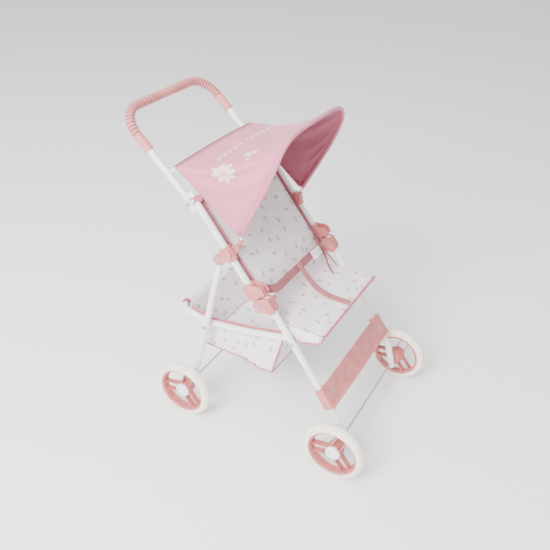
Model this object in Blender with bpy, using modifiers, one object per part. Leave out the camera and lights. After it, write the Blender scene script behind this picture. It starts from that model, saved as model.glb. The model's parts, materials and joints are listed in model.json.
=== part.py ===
"""Doll stroller: folding tube frame, U push bar, sling seat, canopy, basket and four wheels.

Metres, +Z up, the front of the stroller faces -Y.  The origin is on the floor, in the middle
of the stroller's length and width.  Side-view points are pairs (y, z), with y measured in the
frame's own side view and z above the wheel axles; at() places them in the world.
"""
from math import atan2, cos, hypot, pi, radians, sin

import bmesh
import bpy
from mathutils import Matrix, Vector

MM = 0.001
FIT = 0.3 * MM            # gap between pieces that seat on each other
RUN = 0.5 * MM            # gap between pieces that turn or slide on each other

# ---------------------------------------------------------------- driving sizes
FRAME_HALF = 101 * MM     # middle plane to the centre of the side tubes
TUBE_R = 5 * MM           # frame tube, outer radius
WHEEL_R = 47.5 * MM       # tyre, outer radius
WHEELBASE = 259.5 * MM    # front axle to rear axle
FRONT_AXLE_Y = -122 * MM

KNEE = (20 * MM, 188.5 * MM)      # fold pivot, on the back tube's axis
BACK_TILT = radians(51)           # back tube above the floor plane
LEG_TILT = radians(53.4)          # front leg above the floor plane
LEG_AHEAD = 2 * TUBE_R + 3.4 * MM # front leg's axis ahead of the knee pivot
LEG_TOP = 22 * MM                 # front leg's top end above the knee
LEG_BEND = 205 * MM               # knee to the bend above the front axle
BRACE_DROP = 71 * MM              # knee to the basket frame's pivot, down the leg
HIP_UP = 83 * MM                  # rear leg's pivot, up the back tube from the knee
HIP_BACK = 2 * TUBE_R + 6.5 * MM  # rear leg's pivot, behind the back tube's axis
STAY_Z = 112.5 * MM               # height of the basket frame where it meets the rear leg
LEG_STUB = 7 * MM                 # tube past its last pivot or axle

BACK_LENGTH = 182 * MM            # knee to the back tube's top end
LAP = 26 * MM                     # length over which handle tube and back tube lie together
HANDLE_TILT = radians(42.5)
HANDLE_LENGTH = 137 * MM          # bend above the lap to the handle's corner
HANDLE_CORNER = 38 * MM           # centreline radius of the handle's corners
GRIP_R = TUBE_R + 1.8 * MM
GRIP_DROP = 63 * MM               # how far the grip runs down each side from the corner

WIRE_AXLE_R = 1.5 * MM
WIRE_HOOP_R = 1.7 * MM
WIRE_BOW_R = 2 * MM
RIVET_R = 1.5 * MM
RIVET_HEAD_R = 3.2 * MM
RIVET_HEAD = 1.2 * MM

HUB_R = 12.5 * MM
HUB_IN = FRAME_HALF + TUBE_R + 4 * MM     # middle plane to the hub's inner face
HUB_OUT = HUB_IN + 23.5 * MM
TYRE_W = 15 * MM
TYRE_FACE = HUB_OUT + 4 * MM      # middle plane to the tyre's outer face
RIM_R = WHEEL_R - 10 * MM
RIM_WALL = 2.6 * MM
SPOKE = 2.2 * MM                  # thickness of one rib
SPOKE_PITCH = 14 * MM             # distance between the two ribs of a spoke
SPOKE_DEPTH = 9 * MM
CAP_R = 11.5 * MM
CAP_H = 4.5 * MM

SHELL = 3 * MM                    # wall of the plastic fittings
FOOT_TOP = 147 * MM               # footrest's top edge below the knee, along the leg
FOOT_LENGTH = 35 * MM
FOOT_THICK = 4 * MM
FOOT_LIP = 3 * MM

CLOTH = 1.2 * MM                  # fabric panels as plain closed solids
SEAT_THICK = 3 * MM
SEAT_Z = KNEE[1] - 29.5 * MM      # seat panel above the axles
SEAT_FRONT = KNEE[0] - 96 * MM
SEAT_REAR = KNEE[0] - 6 * MM
SLING_TOP = BACK_LENGTH - 16 * MM # sling's top edge above the knee, along the back tube
STRAP_W = 13 * MM
BELT = (KNEE[0] - 9.5 * MM, KNEE[1] + 9.5 * MM)   # lap belt's middle in the side view
BELT_BEND = 18 * MM               # the belt's bends, in from its ends
BUCKLE_X = 50 * MM                # buckle towards the left side
BUCKLE_W = 26 * MM
BUCKLE_H = 15 * MM
BUCKLE_T = 4 * MM

BASKET_HALF = FRAME_HALF - 2 * TUBE_R - 2 * MM    # basket frame's tube centre
BASKET_TAIL = 52 * MM             # basket frame behind the rear leg
BASKET_SAG = 3 * MM
BASKET_DEPTH = 54 * MM
BASKET_CORNER = 14 * MM

HOOP_HALF = FRAME_HALF - TUBE_R - 7.5 * MM        # hoop's ends from the middle plane
HOOP_UP = 84 * MM                 # hoop pivot above the knee, along the back tube
HOOP_AHEAD = TUBE_R + 8 * MM
HOOP_WIDEST = FRAME_HALF
HOOP_HEIGHT = 167 * MM            # pivot to the top of the hoop
HOOP_LEAN = 62 * MM               # how far the hoop's top is ahead of its pivot
HOOP_EYE = 2 * MM                 # half width of the hoop socket's eye
HOOP_SEAT = 5.2 * MM              # hoop wire starts this far from its pivot
HEM_START = 2                     # the canopy starts at this point of the hoop's line
HOOP_SHAPE = ((0.00, 0.00, None), (0.11, 0.09, 0.905), (0.24, 0.25, 0.955), (0.40, 0.46, 0.985),
              (0.56, 0.67, 1.00), (0.72, 0.85, 1.00), (0.84, 0.95, 0.97), (0.93, 0.99, 0.87),
              (0.985, 1.00, 0.66), (1.00, 1.00, 0.33))
SIDE_SHARE = 0.3                  # share of the hoop that the canopy's side panels take
BAR_UP = 32 * MM                  # canopy's rear bar, up the handle from its bend
BAR_STAND = 16 * MM               # rear bar's corners above the handle tube's axis
BAR_ARCH = 11 * MM                # how far the bar's middle rises above its corners

LOCK_LENGTH = 25 * MM
FITTING_HALF = TUBE_R + SHELL     # half width of the plastic fittings across a tube
KNEE_R = TUBE_R + 4 * MM
LOCK_UP = KNEE_R + 0.8 * MM       # lower end of the slide lock above the knee
TUBE_STUB = TUBE_R                # back tube below its pivot
PANEL_HALF = FRAME_HALF - FITTING_HALF - RIVET_HEAD * 0.7 - 2 * FIT   # seat's half width

SIDES = {"left": 1, "right": -1}  # the stroller's own left is +X

for old in list(bpy.data.objects):
    bpy.data.objects.remove(old)


# ---------------------------------------------------------------- side-view geometry
def along(point, tilt, distance):
    return point[0] + distance * cos(tilt), point[1] + distance * sin(tilt)


def ahead(point, tilt, distance):
    """Move square to a tube of this tilt, towards the front and up."""
    return point[0] - distance * sin(tilt), point[1] + distance * cos(tilt)


def between(a, b, share):
    return a[0] + (b[0] - a[0]) * share, a[1] + (b[1] - a[1]) * share


LEG_KNEE = ahead(KNEE, LEG_TILT, LEG_AHEAD)
BRACE = along(LEG_KNEE, LEG_TILT, -BRACE_DROP)
HIP = ahead(along(KNEE, BACK_TILT, HIP_UP), BACK_TILT, -HIP_BACK)
FRONT_AXLE = (FRONT_AXLE_Y, 0.0)
REAR_AXLE = (FRONT_AXLE_Y + WHEELBASE, 0.0)
STAY = between(REAR_AXLE, HIP, STAY_Z / HIP[1])
LAP_OFFSET = 2 * TUBE_R + FIT
HANDLE_BEND = ahead(along(KNEE, BACK_TILT, BACK_LENGTH + 4 * MM), BACK_TILT, -LAP_OFFSET)
HANDLE_TOP = along(HANDLE_BEND, HANDLE_TILT, HANDLE_LENGTH)
HOOP = ahead(along(KNEE, BACK_TILT, HOOP_UP), BACK_TILT, HOOP_AHEAD)
BAR_FOOT = along(HANDLE_BEND, HANDLE_TILT, BAR_UP)
BAR = ahead(BAR_FOOT, HANDLE_TILT, BAR_STAND)
BASKET_REAR = (STAY[0] + BASKET_TAIL, STAY[1] + 9 * MM)

Y_MID = (FRONT_AXLE[0] - WHEEL_R + HANDLE_TOP[0] + GRIP_R) / 2


def at(x, point):
    """World place of a side-view point at a distance x from the middle plane."""
    return Vector((x, point[0] - Y_MID, point[1] + WHEEL_R))


# ---------------------------------------------------------------- collections and materials
def collection(name):
    made = bpy.data.collections.new(name)
    bpy.context.scene.collection.children.link(made)
    return made


PARTS = collection("doll_stroller")
CUTTERS = collection("cutters")


def material(name, colour, roughness, metallic=0.0):
    made = bpy.data.materials.new(name)
    made.use_nodes = True
    shader = made.node_tree.nodes["Principled BSDF"]
    shader.inputs["Base Color"].default_value = (*colour, 1)
    shader.inputs["Roughness"].default_value = roughness
    shader.inputs["Metallic"].default_value = metallic
    made.diffuse_color = (*colour, 1)
    return made


WHITE_PAINT = material("white_paint", (0.86, 0.86, 0.84), 0.3)
PINK_PLASTIC = material("pink_plastic", (0.62, 0.25, 0.24), 0.35)
PINK_GRIP = material("pink_grip", (0.62, 0.27, 0.27), 0.55)
CREAM_TYRE = material("cream_tyre", (0.83, 0.79, 0.71), 0.6)
CAP_WHITE = material("cap_white", (0.85, 0.86, 0.9), 0.35)
STEEL_WIRE = material("steel_wire", (0.55, 0.55, 0.56), 0.3, 1.0)
RIVET_STEEL = material("rivet_steel", (0.6, 0.6, 0.6), 0.35, 1.0)
PINK_CLOTH = material("pink_cloth", (0.66, 0.33, 0.36), 0.85)
PRINT_CLOTH = material("print_cloth", (0.82, 0.76, 0.77), 0.85)
PINK_WEBBING = material("pink_webbing", (0.5, 0.18, 0.2), 0.8)
BUCKLE_WHITE = material("buckle_white", (0.75, 0.74, 0.74), 0.4)


# ---------------------------------------------------------------- shape helpers
def place(obj, mat, home=PARTS):
    for owner in list(obj.users_collection):
        owner.objects.unlink(obj)
    home.objects.link(obj)
    if mat:
        obj.data.materials.clear()
        obj.data.materials.append(mat)
    return obj


def smooth(obj, degrees=35):
    obj.data.shade_smooth()
    obj.data.set_sharp_from_angle(angle=radians(degrees))
    return obj


def mesh_object(name, bm, mat, home=PARTS):
    bmesh.ops.recalc_face_normals(bm, faces=bm.faces)
    mesh = bpy.data.meshes.new(name)
    bm.to_mesh(mesh)
    bm.free()
    return smooth(place(bpy.data.objects.new(name, mesh), mat, home))


def as_mesh(obj):
    """Turn a curve or a modified object into one closed mesh with the same name and place."""
    bpy.context.view_layer.update()
    seen = obj.evaluated_get(bpy.context.evaluated_depsgraph_get())
    mesh = bpy.data.meshes.new_from_object(seen)
    bm = bmesh.new()
    bm.from_mesh(mesh)
    bmesh.ops.remove_doubles(bm, verts=bm.verts, dist=0.00001)
    bmesh.ops.recalc_face_normals(bm, faces=bm.faces)
    bm.to_mesh(mesh)
    bm.free()
    name, matrix, home = obj.name, obj.matrix_world.copy(), obj.users_collection[0]
    mat = obj.data.materials[0] if obj.data.materials else None
    bpy.data.objects.remove(obj)
    made = bpy.data.objects.new(name, mesh)
    made.matrix_world = matrix
    return smooth(place(made, mat, home))


def boolean(target, tool, operation="DIFFERENCE"):
    place(tool, None, CUTTERS)
    tool.hide_render = True
    tool.display_type = "WIRE"
    step = target.modifiers.new(tool.name, "BOOLEAN")
    step.operation = operation
    step.solver = "EXACT"
    step.object = tool
    return target


def rounded(points, radius, steps=5):
    """Points of a bent tube: straight runs joined by arcs of the given centreline radius."""
    out = [Vector(points[0])]
    for before, corner, after in zip(points, points[1:], points[2:]):
        before, corner, after = Vector(before), Vector(corner), Vector(after)
        a, b = (before - corner).normalized(), (after - corner).normalized()
        half = a.angle(b) / 2
        reach = radius * cos(half) / sin(half)
        centre = corner + (a + b).normalized() * (radius / sin(half))
        start, end = corner + a * reach - centre, corner + b * reach - centre
        turn = start.angle(end)
        for i in range(steps + 1):
            share = i / steps
            out.append(centre + (start * sin((1 - share) * turn)
                                 + end * sin(share * turn)) / sin(turn))
    out.append(Vector(points[-1]))
    return out


def through(points, per_span=4):
    """Points of one smooth curve through the given points (Catmull-Rom)."""
    pts = [Vector(p) for p in points]
    pts = [2 * pts[0] - pts[1]] + pts + [2 * pts[-1] - pts[-2]]
    out = []
    for p0, p1, p2, p3 in zip(pts, pts[1:], pts[2:], pts[3:]):
        for i in range(per_span):
            t = i / per_span
            out.append(0.5 * (2 * p1 + (p2 - p0) * t + (2 * p0 - 5 * p1 + 4 * p2 - p3) * t * t
                              + (3 * p1 - p0 - 3 * p2 + p3) * t ** 3))
    out.append(pts[-2])
    return out


def tube(name, points, radius, mat, sides=6, home=PARTS):
    """A wire or tube: POLY curve with a round bevel and filled caps."""
    curve = bpy.data.curves.new(name, "CURVE")
    curve.dimensions = "3D"
    curve.bevel_depth = radius
    curve.bevel_resolution = sides
    curve.use_fill_caps = True
    spline = curve.splines.new("POLY")
    spline.points.add(len(points) - 1)
    for slot, point in zip(spline.points, points):
        slot.co = (*point, 1)
    spline.use_smooth = True
    return place(bpy.data.objects.new(name, curve), mat, home)


def rod(name, start, end, radius, mat=None, segments=20, home=PARTS):
    """A plain cylinder between two world points."""
    start, end = Vector(start), Vector(end)
    bm = bmesh.new()
    bmesh.ops.create_cone(bm, cap_ends=True, segments=segments, radius1=radius, radius2=radius,
                          depth=(end - start).length)
    obj = mesh_object(name, bm, mat, home)
    obj.rotation_mode = "QUATERNION"
    obj.rotation_quaternion = Vector((0, 0, 1)).rotation_difference(end - start)
    obj.location = (start + end) / 2
    return obj


def cross_hole(target, x0, x1, point, radius, name):
    """Drill a hole along X through the target at a side-view point."""
    drill = rod(name, at(x0, point), at(x1, point), radius, segments=16, home=CUTTERS)
    return boolean(target, drill)


def turned(name, profile, centre, side, mat, steps=32):
    """A turned piece on an X axle.  The profile is a closed loop of (radius, distance from the
    middle plane) pairs that runs from the outer end of its outer side inwards."""
    mesh = bpy.data.meshes.new(name)
    verts = [(radius, 0, height) for radius, height in profile]
    edges = [(i, (i + 1) % len(verts)) for i in range(len(verts))]
    if profile[0][0] == 0 and profile[-1][0] == 0:
        edges.pop()
    mesh.from_pydata(verts, edges, [])
    obj = place(bpy.data.objects.new(name, mesh), mat)
    screw = obj.modifiers.new("turn", "SCREW")
    screw.steps = steps
    screw.render_steps = steps
    screw.use_merge_vertices = True
    screw.merge_threshold = 0.00001
    obj.matrix_world = Matrix.Translation(at(0, centre)) @ Matrix.Rotation(side * pi / 2, 4, "Y")
    return smooth(as_mesh(obj))


def hull_plate(name, rounds, x0, x1, mat, home=PARTS, segments=20):
    """A plate across X whose outline wraps a list of (side-view point, radius) rounds."""
    bm = bmesh.new()
    for x in (x0, x1):
        for point, radius in rounds:
            for i in range(segments):
                angle = 2 * pi * i / segments
                bm.verts.new(at(x, (point[0] + radius * cos(angle), point[1] + radius * sin(angle))))
    shell = bmesh.ops.convex_hull(bm, input=bm.verts)
    spare = {v for key in ("geom_interior", "geom_unused") for v in shell[key]
             if isinstance(v, bmesh.types.BMVert)}
    bmesh.ops.delete(bm, geom=list(spare), context="VERTS")
    bmesh.ops.dissolve_limit(bm, angle_limit=radians(1), verts=bm.verts, edges=bm.edges)
    return mesh_object(name, bm, mat, home)


def bevel(obj, width, segments=2):
    step = obj.modifiers.new("round", "BEVEL")
    step.width = width
    step.segments = segments
    step.limit_method = "ANGLE"
    step.angle_limit = radians(40)
    return obj


def slab(name, outline, x0, x1, mat, home=PARTS):
    """A prism across X from a closed side-view outline."""
    bm = bmesh.new()
    faces = []
    for x in (x0, x1):
        faces.append(bm.faces.new([bm.verts.new(at(x, point)) for point in outline]))
    count = len(outline)
    for i in range(count):
        j = (i + 1) % count
        bm.faces.new([faces[0].verts[i], faces[0].verts[j], faces[1].verts[j], faces[1].verts[i]])
    return mesh_object(name, bm, mat, home)


def thick_line(points, half):
    """Side-view outline of a strip of even thickness along a line of points."""
    ahead_side, back_side = [], []
    for i, point in enumerate(points):
        before = points[max(i - 1, 0)]
        after = points[min(i + 1, len(points) - 1)]
        tilt = atan2(after[1] - before[1], after[0] - before[0])
        ahead_side.append(ahead(point, tilt, half))
        back_side.append(ahead(point, tilt, -half))
    return ahead_side + back_side[::-1]


def sheet(name, rows, thickness, mat):
    """A closed thin solid from a grid of world points, by Solidify."""
    bm = bmesh.new()
    grid = [[bm.verts.new(point) for point in row] for row in rows]
    for low, high in zip(grid, grid[1:]):
        for i in range(len(low) - 1):
            bm.faces.new([low[i], low[i + 1], high[i + 1], high[i]])
    obj = mesh_object(name, bm, mat)
    step = obj.modifiers.new("thickness", "SOLIDIFY")
    step.thickness = thickness
    step.offset = 0
    return obj


def rivet(name, side, point, inner, outer, mat=RIVET_STEEL, radius=RIVET_R):
    """A rivet along X with a low head at each end."""
    body = [(0, outer + RIVET_HEAD), (RIVET_HEAD_R * 0.7, outer + RIVET_HEAD * 0.8),
            (RIVET_HEAD_R, outer), (radius, outer), (radius, inner), (RIVET_HEAD_R, inner),
            (RIVET_HEAD_R * 0.8, inner - RIVET_HEAD * 0.7), (0, inner - RIVET_HEAD * 0.7)]
    return turned(name, body, point, side, mat, steps=12)


# ---------------------------------------------------------------- front frame
def front_leg(side_name, side):
    top = along(LEG_KNEE, LEG_TILT, LEG_TOP)
    bend = along(LEG_KNEE, LEG_TILT, -LEG_BEND)
    down = atan2(FRONT_AXLE[1] - bend[1], FRONT_AXLE[0] - bend[0])
    end = along(FRONT_AXLE, down, LEG_STUB)
    x = side * FRAME_HALF
    path = rounded([at(x, top), at(x, bend), at(x, end)], 45 * MM, 4)
    leg = as_mesh(tube(f"front_leg_{side_name}", path, TUBE_R, WHITE_PAINT))
    low, high = x - 2 * TUBE_R, x + 2 * TUBE_R
    cross_hole(leg, low, high, FRONT_AXLE, WIRE_AXLE_R + FIT, f"axle_hole_{side_name}")
    cross_hole(leg, low, high, BRACE, RIVET_R + FIT, f"brace_hole_{side_name}")
    cross_hole(leg, x - side * 2 * TUBE_R, x, bow_end(), WIRE_BOW_R + FIT,
               f"bow_hole_{side_name}")
    return leg


def bow_end():
    """Where the seat bow's wire enters the front leg."""
    z = SEAT_Z - WIRE_BOW_R - FIT
    share = (z - LEG_KNEE[1]) / sin(LEG_TILT)
    return along(LEG_KNEE, LEG_TILT, share)


def seat_bow():
    """Wire hoop under the seat's front edge; its ends turn outwards into the front legs."""
    end = bow_end()
    half = FRAME_HALF - TUBE_R - 6 * MM
    front = (SEAT_FRONT + WIRE_BOW_R, end[1])
    right = [at(-FRAME_HALF + 2 * MM, end), at(-half, end), at(-half, front)]
    left = [at(half, front), at(half, end), at(FRAME_HALF - 2 * MM, end)]
    return tube("seat_bow", rounded(right + left, 5.5 * MM, 4), WIRE_BOW_R, STEEL_WIRE, 3)


def footrest():
    """Board across the front legs with a channel that wraps each leg."""
    def spot(drop, lift):
        return ahead(along(LEG_KNEE, LEG_TILT, -drop), LEG_TILT, lift)

    low = FOOT_TOP + FOOT_LENGTH
    front = TUBE_R + FOOT_THICK
    outline = [spot(FOOT_TOP, front - FOOT_THICK), spot(FOOT_TOP, front),
               spot(low - 6 * MM, front), spot(low, front + FOOT_LIP),
               spot(low, front - 1 * MM), spot(low - 5 * MM, front - FOOT_THICK)]
    inner = FRAME_HALF + TUBE_R + SHELL
    board = slab("footrest", outline, 1 * MM - inner, inner - 1 * MM, PINK_PLASTIC)
    for side_name, side in SIDES.items():
        middle = along(LEG_KNEE, LEG_TILT, -(FOOT_TOP + FOOT_LENGTH / 2))
        cheek = [spot(FOOT_TOP + 1 * MM, -TUBE_R), spot(FOOT_TOP + 1 * MM, front - 1 * MM),
                 spot(low - 1 * MM, front - 1 * MM), spot(low - 1 * MM, -TUBE_R)]
        low_x, high_x = sorted((side * (FRAME_HALF - TUBE_R - SHELL), side * inner))
        block = slab(f"footrest_side_{side_name}", cheek, low_x, high_x, None, CUTTERS)
        boolean(board, block, "UNION")
        reach = FOOT_LENGTH
        channel = rod(f"footrest_channel_{side_name}",
                      at(side * FRAME_HALF, along(middle, LEG_TILT, reach)),
                      at(side * FRAME_HALF, along(middle, LEG_TILT, -reach)),
                      TUBE_R + FIT, segments=16, home=CUTTERS)
        boolean(board, channel)
        mouth = [ahead(along(middle, LEG_TILT, s * reach), LEG_TILT, lift)
                 for s, lift in ((1, 0), (-1, 0), (-1, -4 * TUBE_R), (1, -4 * TUBE_R))]
        slot = slab(f"footrest_slot_{side_name}", mouth, side * FRAME_HALF - TUBE_R - FIT,
                    side * FRAME_HALF + TUBE_R + FIT, None, CUTTERS)
        boolean(board, slot)
    return board


def footrest_screw(side_name, side):
    """Self-tapping screw head on the board, in front of the leg."""
    spot = ahead(along(LEG_KNEE, LEG_TILT, -(FOOT_TOP + FOOT_LENGTH * 0.45)), LEG_TILT,
                 TUBE_R + FOOT_THICK + FIT)
    x = side * (FRAME_HALF - 14 * MM)
    end = ahead(spot, LEG_TILT, 1.2 * MM)
    return bevel(rod(f"footrest_screw_{side_name}", at(x, spot), at(x, end), 2.6 * MM,
                     RIVET_STEEL, 14), 0.5 * MM, 1)


def axle(name, point):
    end = HUB_OUT + 1.5 * MM
    return rod(name, at(-end, point), at(end, point), WIRE_AXLE_R, STEEL_WIRE, 14)


def knee_socket(side_name, side):
    """Fitting on the front leg: a collar and two cheeks that hold the knee rivet."""
    x = side * FRAME_HALF
    foot = along(LEG_KNEE, LEG_TILT, -12 * MM)
    body = hull_plate(f"knee_socket_{side_name}",
                      [(LEG_KNEE, TUBE_R + 2 * MM), (foot, TUBE_R + 2 * MM), (KNEE, KNEE_R)],
                      x - FITTING_HALF, x + FITTING_HALF, PINK_PLASTIC)
    boolean(body, rod(f"knee_leg_bore_{side_name}", at(x, along(LEG_KNEE, LEG_TILT, 60 * MM)),
                      at(x, along(LEG_KNEE, LEG_TILT, -60 * MM)), TUBE_R + FIT, segments=20,
                      home=CUTTERS))
    reach = hypot(TUBE_STUB, TUBE_R) + RUN
    slot = hull_plate(f"knee_slot_{side_name}",
                      [(KNEE, reach), (ahead(KNEE, BACK_TILT, -40 * MM), 25 * MM),
                       (along(KNEE, BACK_TILT, 30 * MM), TUBE_R + RUN)],
                      x - TUBE_R - RUN, x + TUBE_R + RUN, None, CUTTERS)
    boolean(body, slot)
    return cross_hole(body, x - 2 * FITTING_HALF, x + 2 * FITTING_HALF, KNEE, RIVET_R + FIT,
                      f"knee_hole_{side_name}")


# ---------------------------------------------------------------- back frame
def back_tube(side_name, side):
    x = side * FRAME_HALF
    path = [at(x, along(KNEE, BACK_TILT, -TUBE_STUB)), at(x, along(KNEE, BACK_TILT, BACK_LENGTH))]
    body = as_mesh(tube(f"back_tube_{side_name}", path, TUBE_R, WHITE_PAINT))
    cross_hole(body, x - 2 * TUBE_R, x + 2 * TUBE_R, KNEE, RIVET_R + FIT,
               f"knee_hole_back_{side_name}")
    return cross_hole(body, x - 2 * TUBE_R, x + 2 * TUBE_R, lap_point(0), RIVET_R + FIT,
                      f"lap_hole_back_{side_name}")


def lap_point(offset):
    """Middle of the lap between back tube and handle tube, moved back by the offset."""
    return ahead(along(KNEE, BACK_TILT, BACK_LENGTH - LAP / 2), BACK_TILT, -offset)


def handle_tube():
    """U push bar: both laps, the bends above them and the crossbar in one tube."""
    foot = ahead(along(KNEE, BACK_TILT, BACK_LENGTH - LAP), BACK_TILT, -LAP_OFFSET)
    side_path = [at(0, foot), at(0, HANDLE_BEND), at(0, HANDLE_TOP)]
    right = [point + Vector((-FRAME_HALF, 0, 0)) for point in side_path]
    left = [point + Vector((FRAME_HALF, 0, 0)) for point in side_path[::-1]]
    path = rounded(right + left, HANDLE_CORNER, 6)
    body = as_mesh(tube("handle_tube", path, TUBE_R, WHITE_PAINT))
    for side_name, side in SIDES.items():
        x = side * FRAME_HALF
        cross_hole(body, x - 2 * TUBE_R, x + 2 * TUBE_R, lap_point(LAP_OFFSET), RIVET_R + FIT,
                   f"lap_hole_handle_{side_name}")
        drill = rod(f"bar_hole_{side_name}", at(x, BAR_FOOT), at(x, BAR), WIRE_HOOP_R + FIT,
                    segments=12, home=CUTTERS)
        boolean(body, drill)
    return body


def handle_grip():
    """Soft sleeve over the crossbar and both corners."""
    def path(drop):
        ends = [at(0, along(HANDLE_TOP, HANDLE_TILT, -drop)), at(0, HANDLE_TOP)]
        right = [point + Vector((-FRAME_HALF, 0, 0)) for point in ends]
        left = [point + Vector((FRAME_HALF, 0, 0)) for point in ends[::-1]]
        return rounded(right + left, HANDLE_CORNER, 6)

    sleeve = as_mesh(tube("handle_grip", path(GRIP_DROP), GRIP_R, PINK_GRIP))
    bore = as_mesh(tube("grip_bore", path(GRIP_DROP + 10 * MM), TUBE_R + FIT, None, 6, CUTTERS))
    return boolean(sleeve, bore)


def lap_plate(side_name, side):
    """Flat steel link on the inner side of the lap, held by the two rivets."""
    inner = FRAME_HALF - TUBE_R - FIT
    low_x, high_x = sorted((side * inner, side * (inner - 1.2 * MM)))
    plate = hull_plate(f"lap_plate_{side_name}",
                       [(lap_point(0), 5 * MM), (lap_point(LAP_OFFSET), 5 * MM)],
                       low_x, high_x, RIVET_STEEL)
    for offset, tag in ((0, "back"), (LAP_OFFSET, "handle")):
        cross_hole(plate, low_x - 3 * MM, high_x + 3 * MM, lap_point(offset), RIVET_R + FIT,
                   f"plate_hole_{tag}_{side_name}")
    return plate


def hinge_bracket(side_name, side):
    """Fitting on the back tube that carries the rear leg behind it and the hoop ahead of it."""
    x = side * FRAME_HALF
    centre = along(KNEE, BACK_TILT, HIP_UP)
    half = TUBE_R + SHELL
    body = rod(f"hinge_bracket_{side_name}", at(x, along(centre, BACK_TILT, -11 * MM)),
               at(x, along(centre, BACK_TILT, 11 * MM)), half, PINK_PLASTIC, 24)
    cheek_in = TUBE_R + RUN
    for tag, start, rounds in (
            ("outer", cheek_in, [(centre, half), (HIP, half + 0.5 * MM)]),
            ("inner", -cheek_in - SHELL, [(centre, half), (HIP, half + 0.5 * MM), (HOOP, 3.5 * MM)])):
        low_x, high_x = sorted((x + side * start, x + side * (start + SHELL)))
        boolean(body, hull_plate(f"bracket_{tag}_{side_name}", rounds, low_x, high_x, None,
                                 CUTTERS), "UNION")
    stub_in = HOOP_HALF - HOOP_EYE - RUN
    boolean(body, rod(f"hoop_stub_{side_name}", at(side * stub_in, HOOP),
                      at(side * (FRAME_HALF - TUBE_R - 1 * MM), HOOP), 2 * MM, None, 14, CUTTERS),
            "UNION")
    boolean(body, rod(f"bracket_bore_{side_name}", at(x, along(centre, BACK_TILT, -30 * MM)),
                      at(x, along(centre, BACK_TILT, 30 * MM)), TUBE_R + FIT, home=CUTTERS))
    return cross_hole(body, x - 15 * MM, x + 15 * MM, HIP, RIVET_R + FIT,
                      f"hip_hole_{side_name}")


def lock_slider(side_name, side):
    """Slide lock: a sleeve round the back tube whose cheeks straddle the front leg's top."""
    x = side * FRAME_HALF
    low = along(KNEE, BACK_TILT, LOCK_UP)
    high = along(KNEE, BACK_TILT, LOCK_UP + LOCK_LENGTH)
    spread = LEG_TILT - BACK_TILT
    leg_gap = LEG_AHEAD * cos(spread) + (LOCK_UP + LEG_TOP) / 2 * sin(spread)
    wall = TUBE_R + SHELL
    rounds = [(along(low, BACK_TILT, wall / 2), wall), (along(high, BACK_TILT, -wall), wall),
              (ahead(along(low, BACK_TILT, wall / 2), BACK_TILT, leg_gap), wall - 1 * MM),
              (ahead(along(high, BACK_TILT, -2 * wall), BACK_TILT, leg_gap), wall - 1 * MM)]
    body = hull_plate(f"lock_slider_{side_name}", rounds, x - FITTING_HALF, x + FITTING_HALF,
                      PINK_PLASTIC)
    trim = [ahead(along(low, BACK_TILT, -s), BACK_TILT, t) for s, t in
            ((0, -30 * MM), (0, 40 * MM), (30 * MM, 40 * MM), (30 * MM, -30 * MM))]
    boolean(body, slab(f"lock_foot_{side_name}", trim, x - 20 * MM, x + 20 * MM, None, CUTTERS))
    boolean(body, rod(f"lock_bore_{side_name}", at(x, along(low, BACK_TILT, -40 * MM)),
                      at(x, along(high, BACK_TILT, 40 * MM)), TUBE_R + RUN, home=CUTTERS))
    gap = TUBE_R + RUN
    back = leg_gap - gap - 0.2 * MM
    channel = [ahead(along(low, BACK_TILT, s), BACK_TILT, t) for s, t in
               ((-30 * MM, back), (-30 * MM, 50 * MM), (90 * MM, 50 * MM), (90 * MM, back))]
    boolean(body, slab(f"lock_channel_{side_name}", channel, x - gap, x + gap, None, CUTTERS))
    return body


# ---------------------------------------------------------------- rear frame
def rear_leg(side_name, side):
    x = side * FRAME_HALF
    tilt = atan2(HIP[1] - REAR_AXLE[1], HIP[0] - REAR_AXLE[0])
    path = [at(x, along(HIP, tilt, LEG_STUB - 1 * MM)), at(x, along(REAR_AXLE, tilt, -LEG_STUB))]
    leg = as_mesh(tube(f"rear_leg_{side_name}", path, TUBE_R, WHITE_PAINT))
    low, high = x - 2 * TUBE_R, x + 2 * TUBE_R
    cross_hole(leg, low, high, HIP, RIVET_R + FIT, f"leg_hip_hole_{side_name}")
    cross_hole(leg, low, high, REAR_AXLE, WIRE_AXLE_R + FIT, f"rear_axle_hole_{side_name}")
    return cross_hole(leg, low, high, STAY, RIVET_R + FIT, f"stay_hole_{side_name}")


# ---------------------------------------------------------------- basket
def basket_line():
    middle = between(BRACE, STAY, 0.5)
    middle = (middle[0], middle[1] - BASKET_SAG)
    return [BRACE, middle, STAY, BASKET_REAR]


def basket_frame():
    """U tube: pivots on both front legs, runs back past the rear legs, crosses behind."""
    line = basket_line()
    tilt = atan2(line[1][1] - BRACE[1], line[1][0] - BRACE[0])
    start = along(BRACE, tilt, -LEG_STUB + 1 * MM)
    half = BASKET_HALF
    side_line = through([at(0, point) for point in [start] + line[1:3]], 4)[:-1]
    right = [point + Vector((-half, 0, 0)) for point in side_line]
    left = [point + Vector((half, 0, 0)) for point in side_line[::-1]]
    corners = rounded([at(-half, STAY), at(-half, BASKET_REAR), at(half, BASKET_REAR),
                       at(half, STAY)], BASKET_CORNER, 5)
    body = as_mesh(tube("basket_frame", right + corners + left, TUBE_R, WHITE_PAINT))
    for side_name, side in SIDES.items():
        cross_hole(body, side * half - 2 * TUBE_R, side * half + 2 * TUBE_R, BRACE,
                   RIVET_R + FIT, f"frame_brace_hole_{side_name}")
    return body


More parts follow.
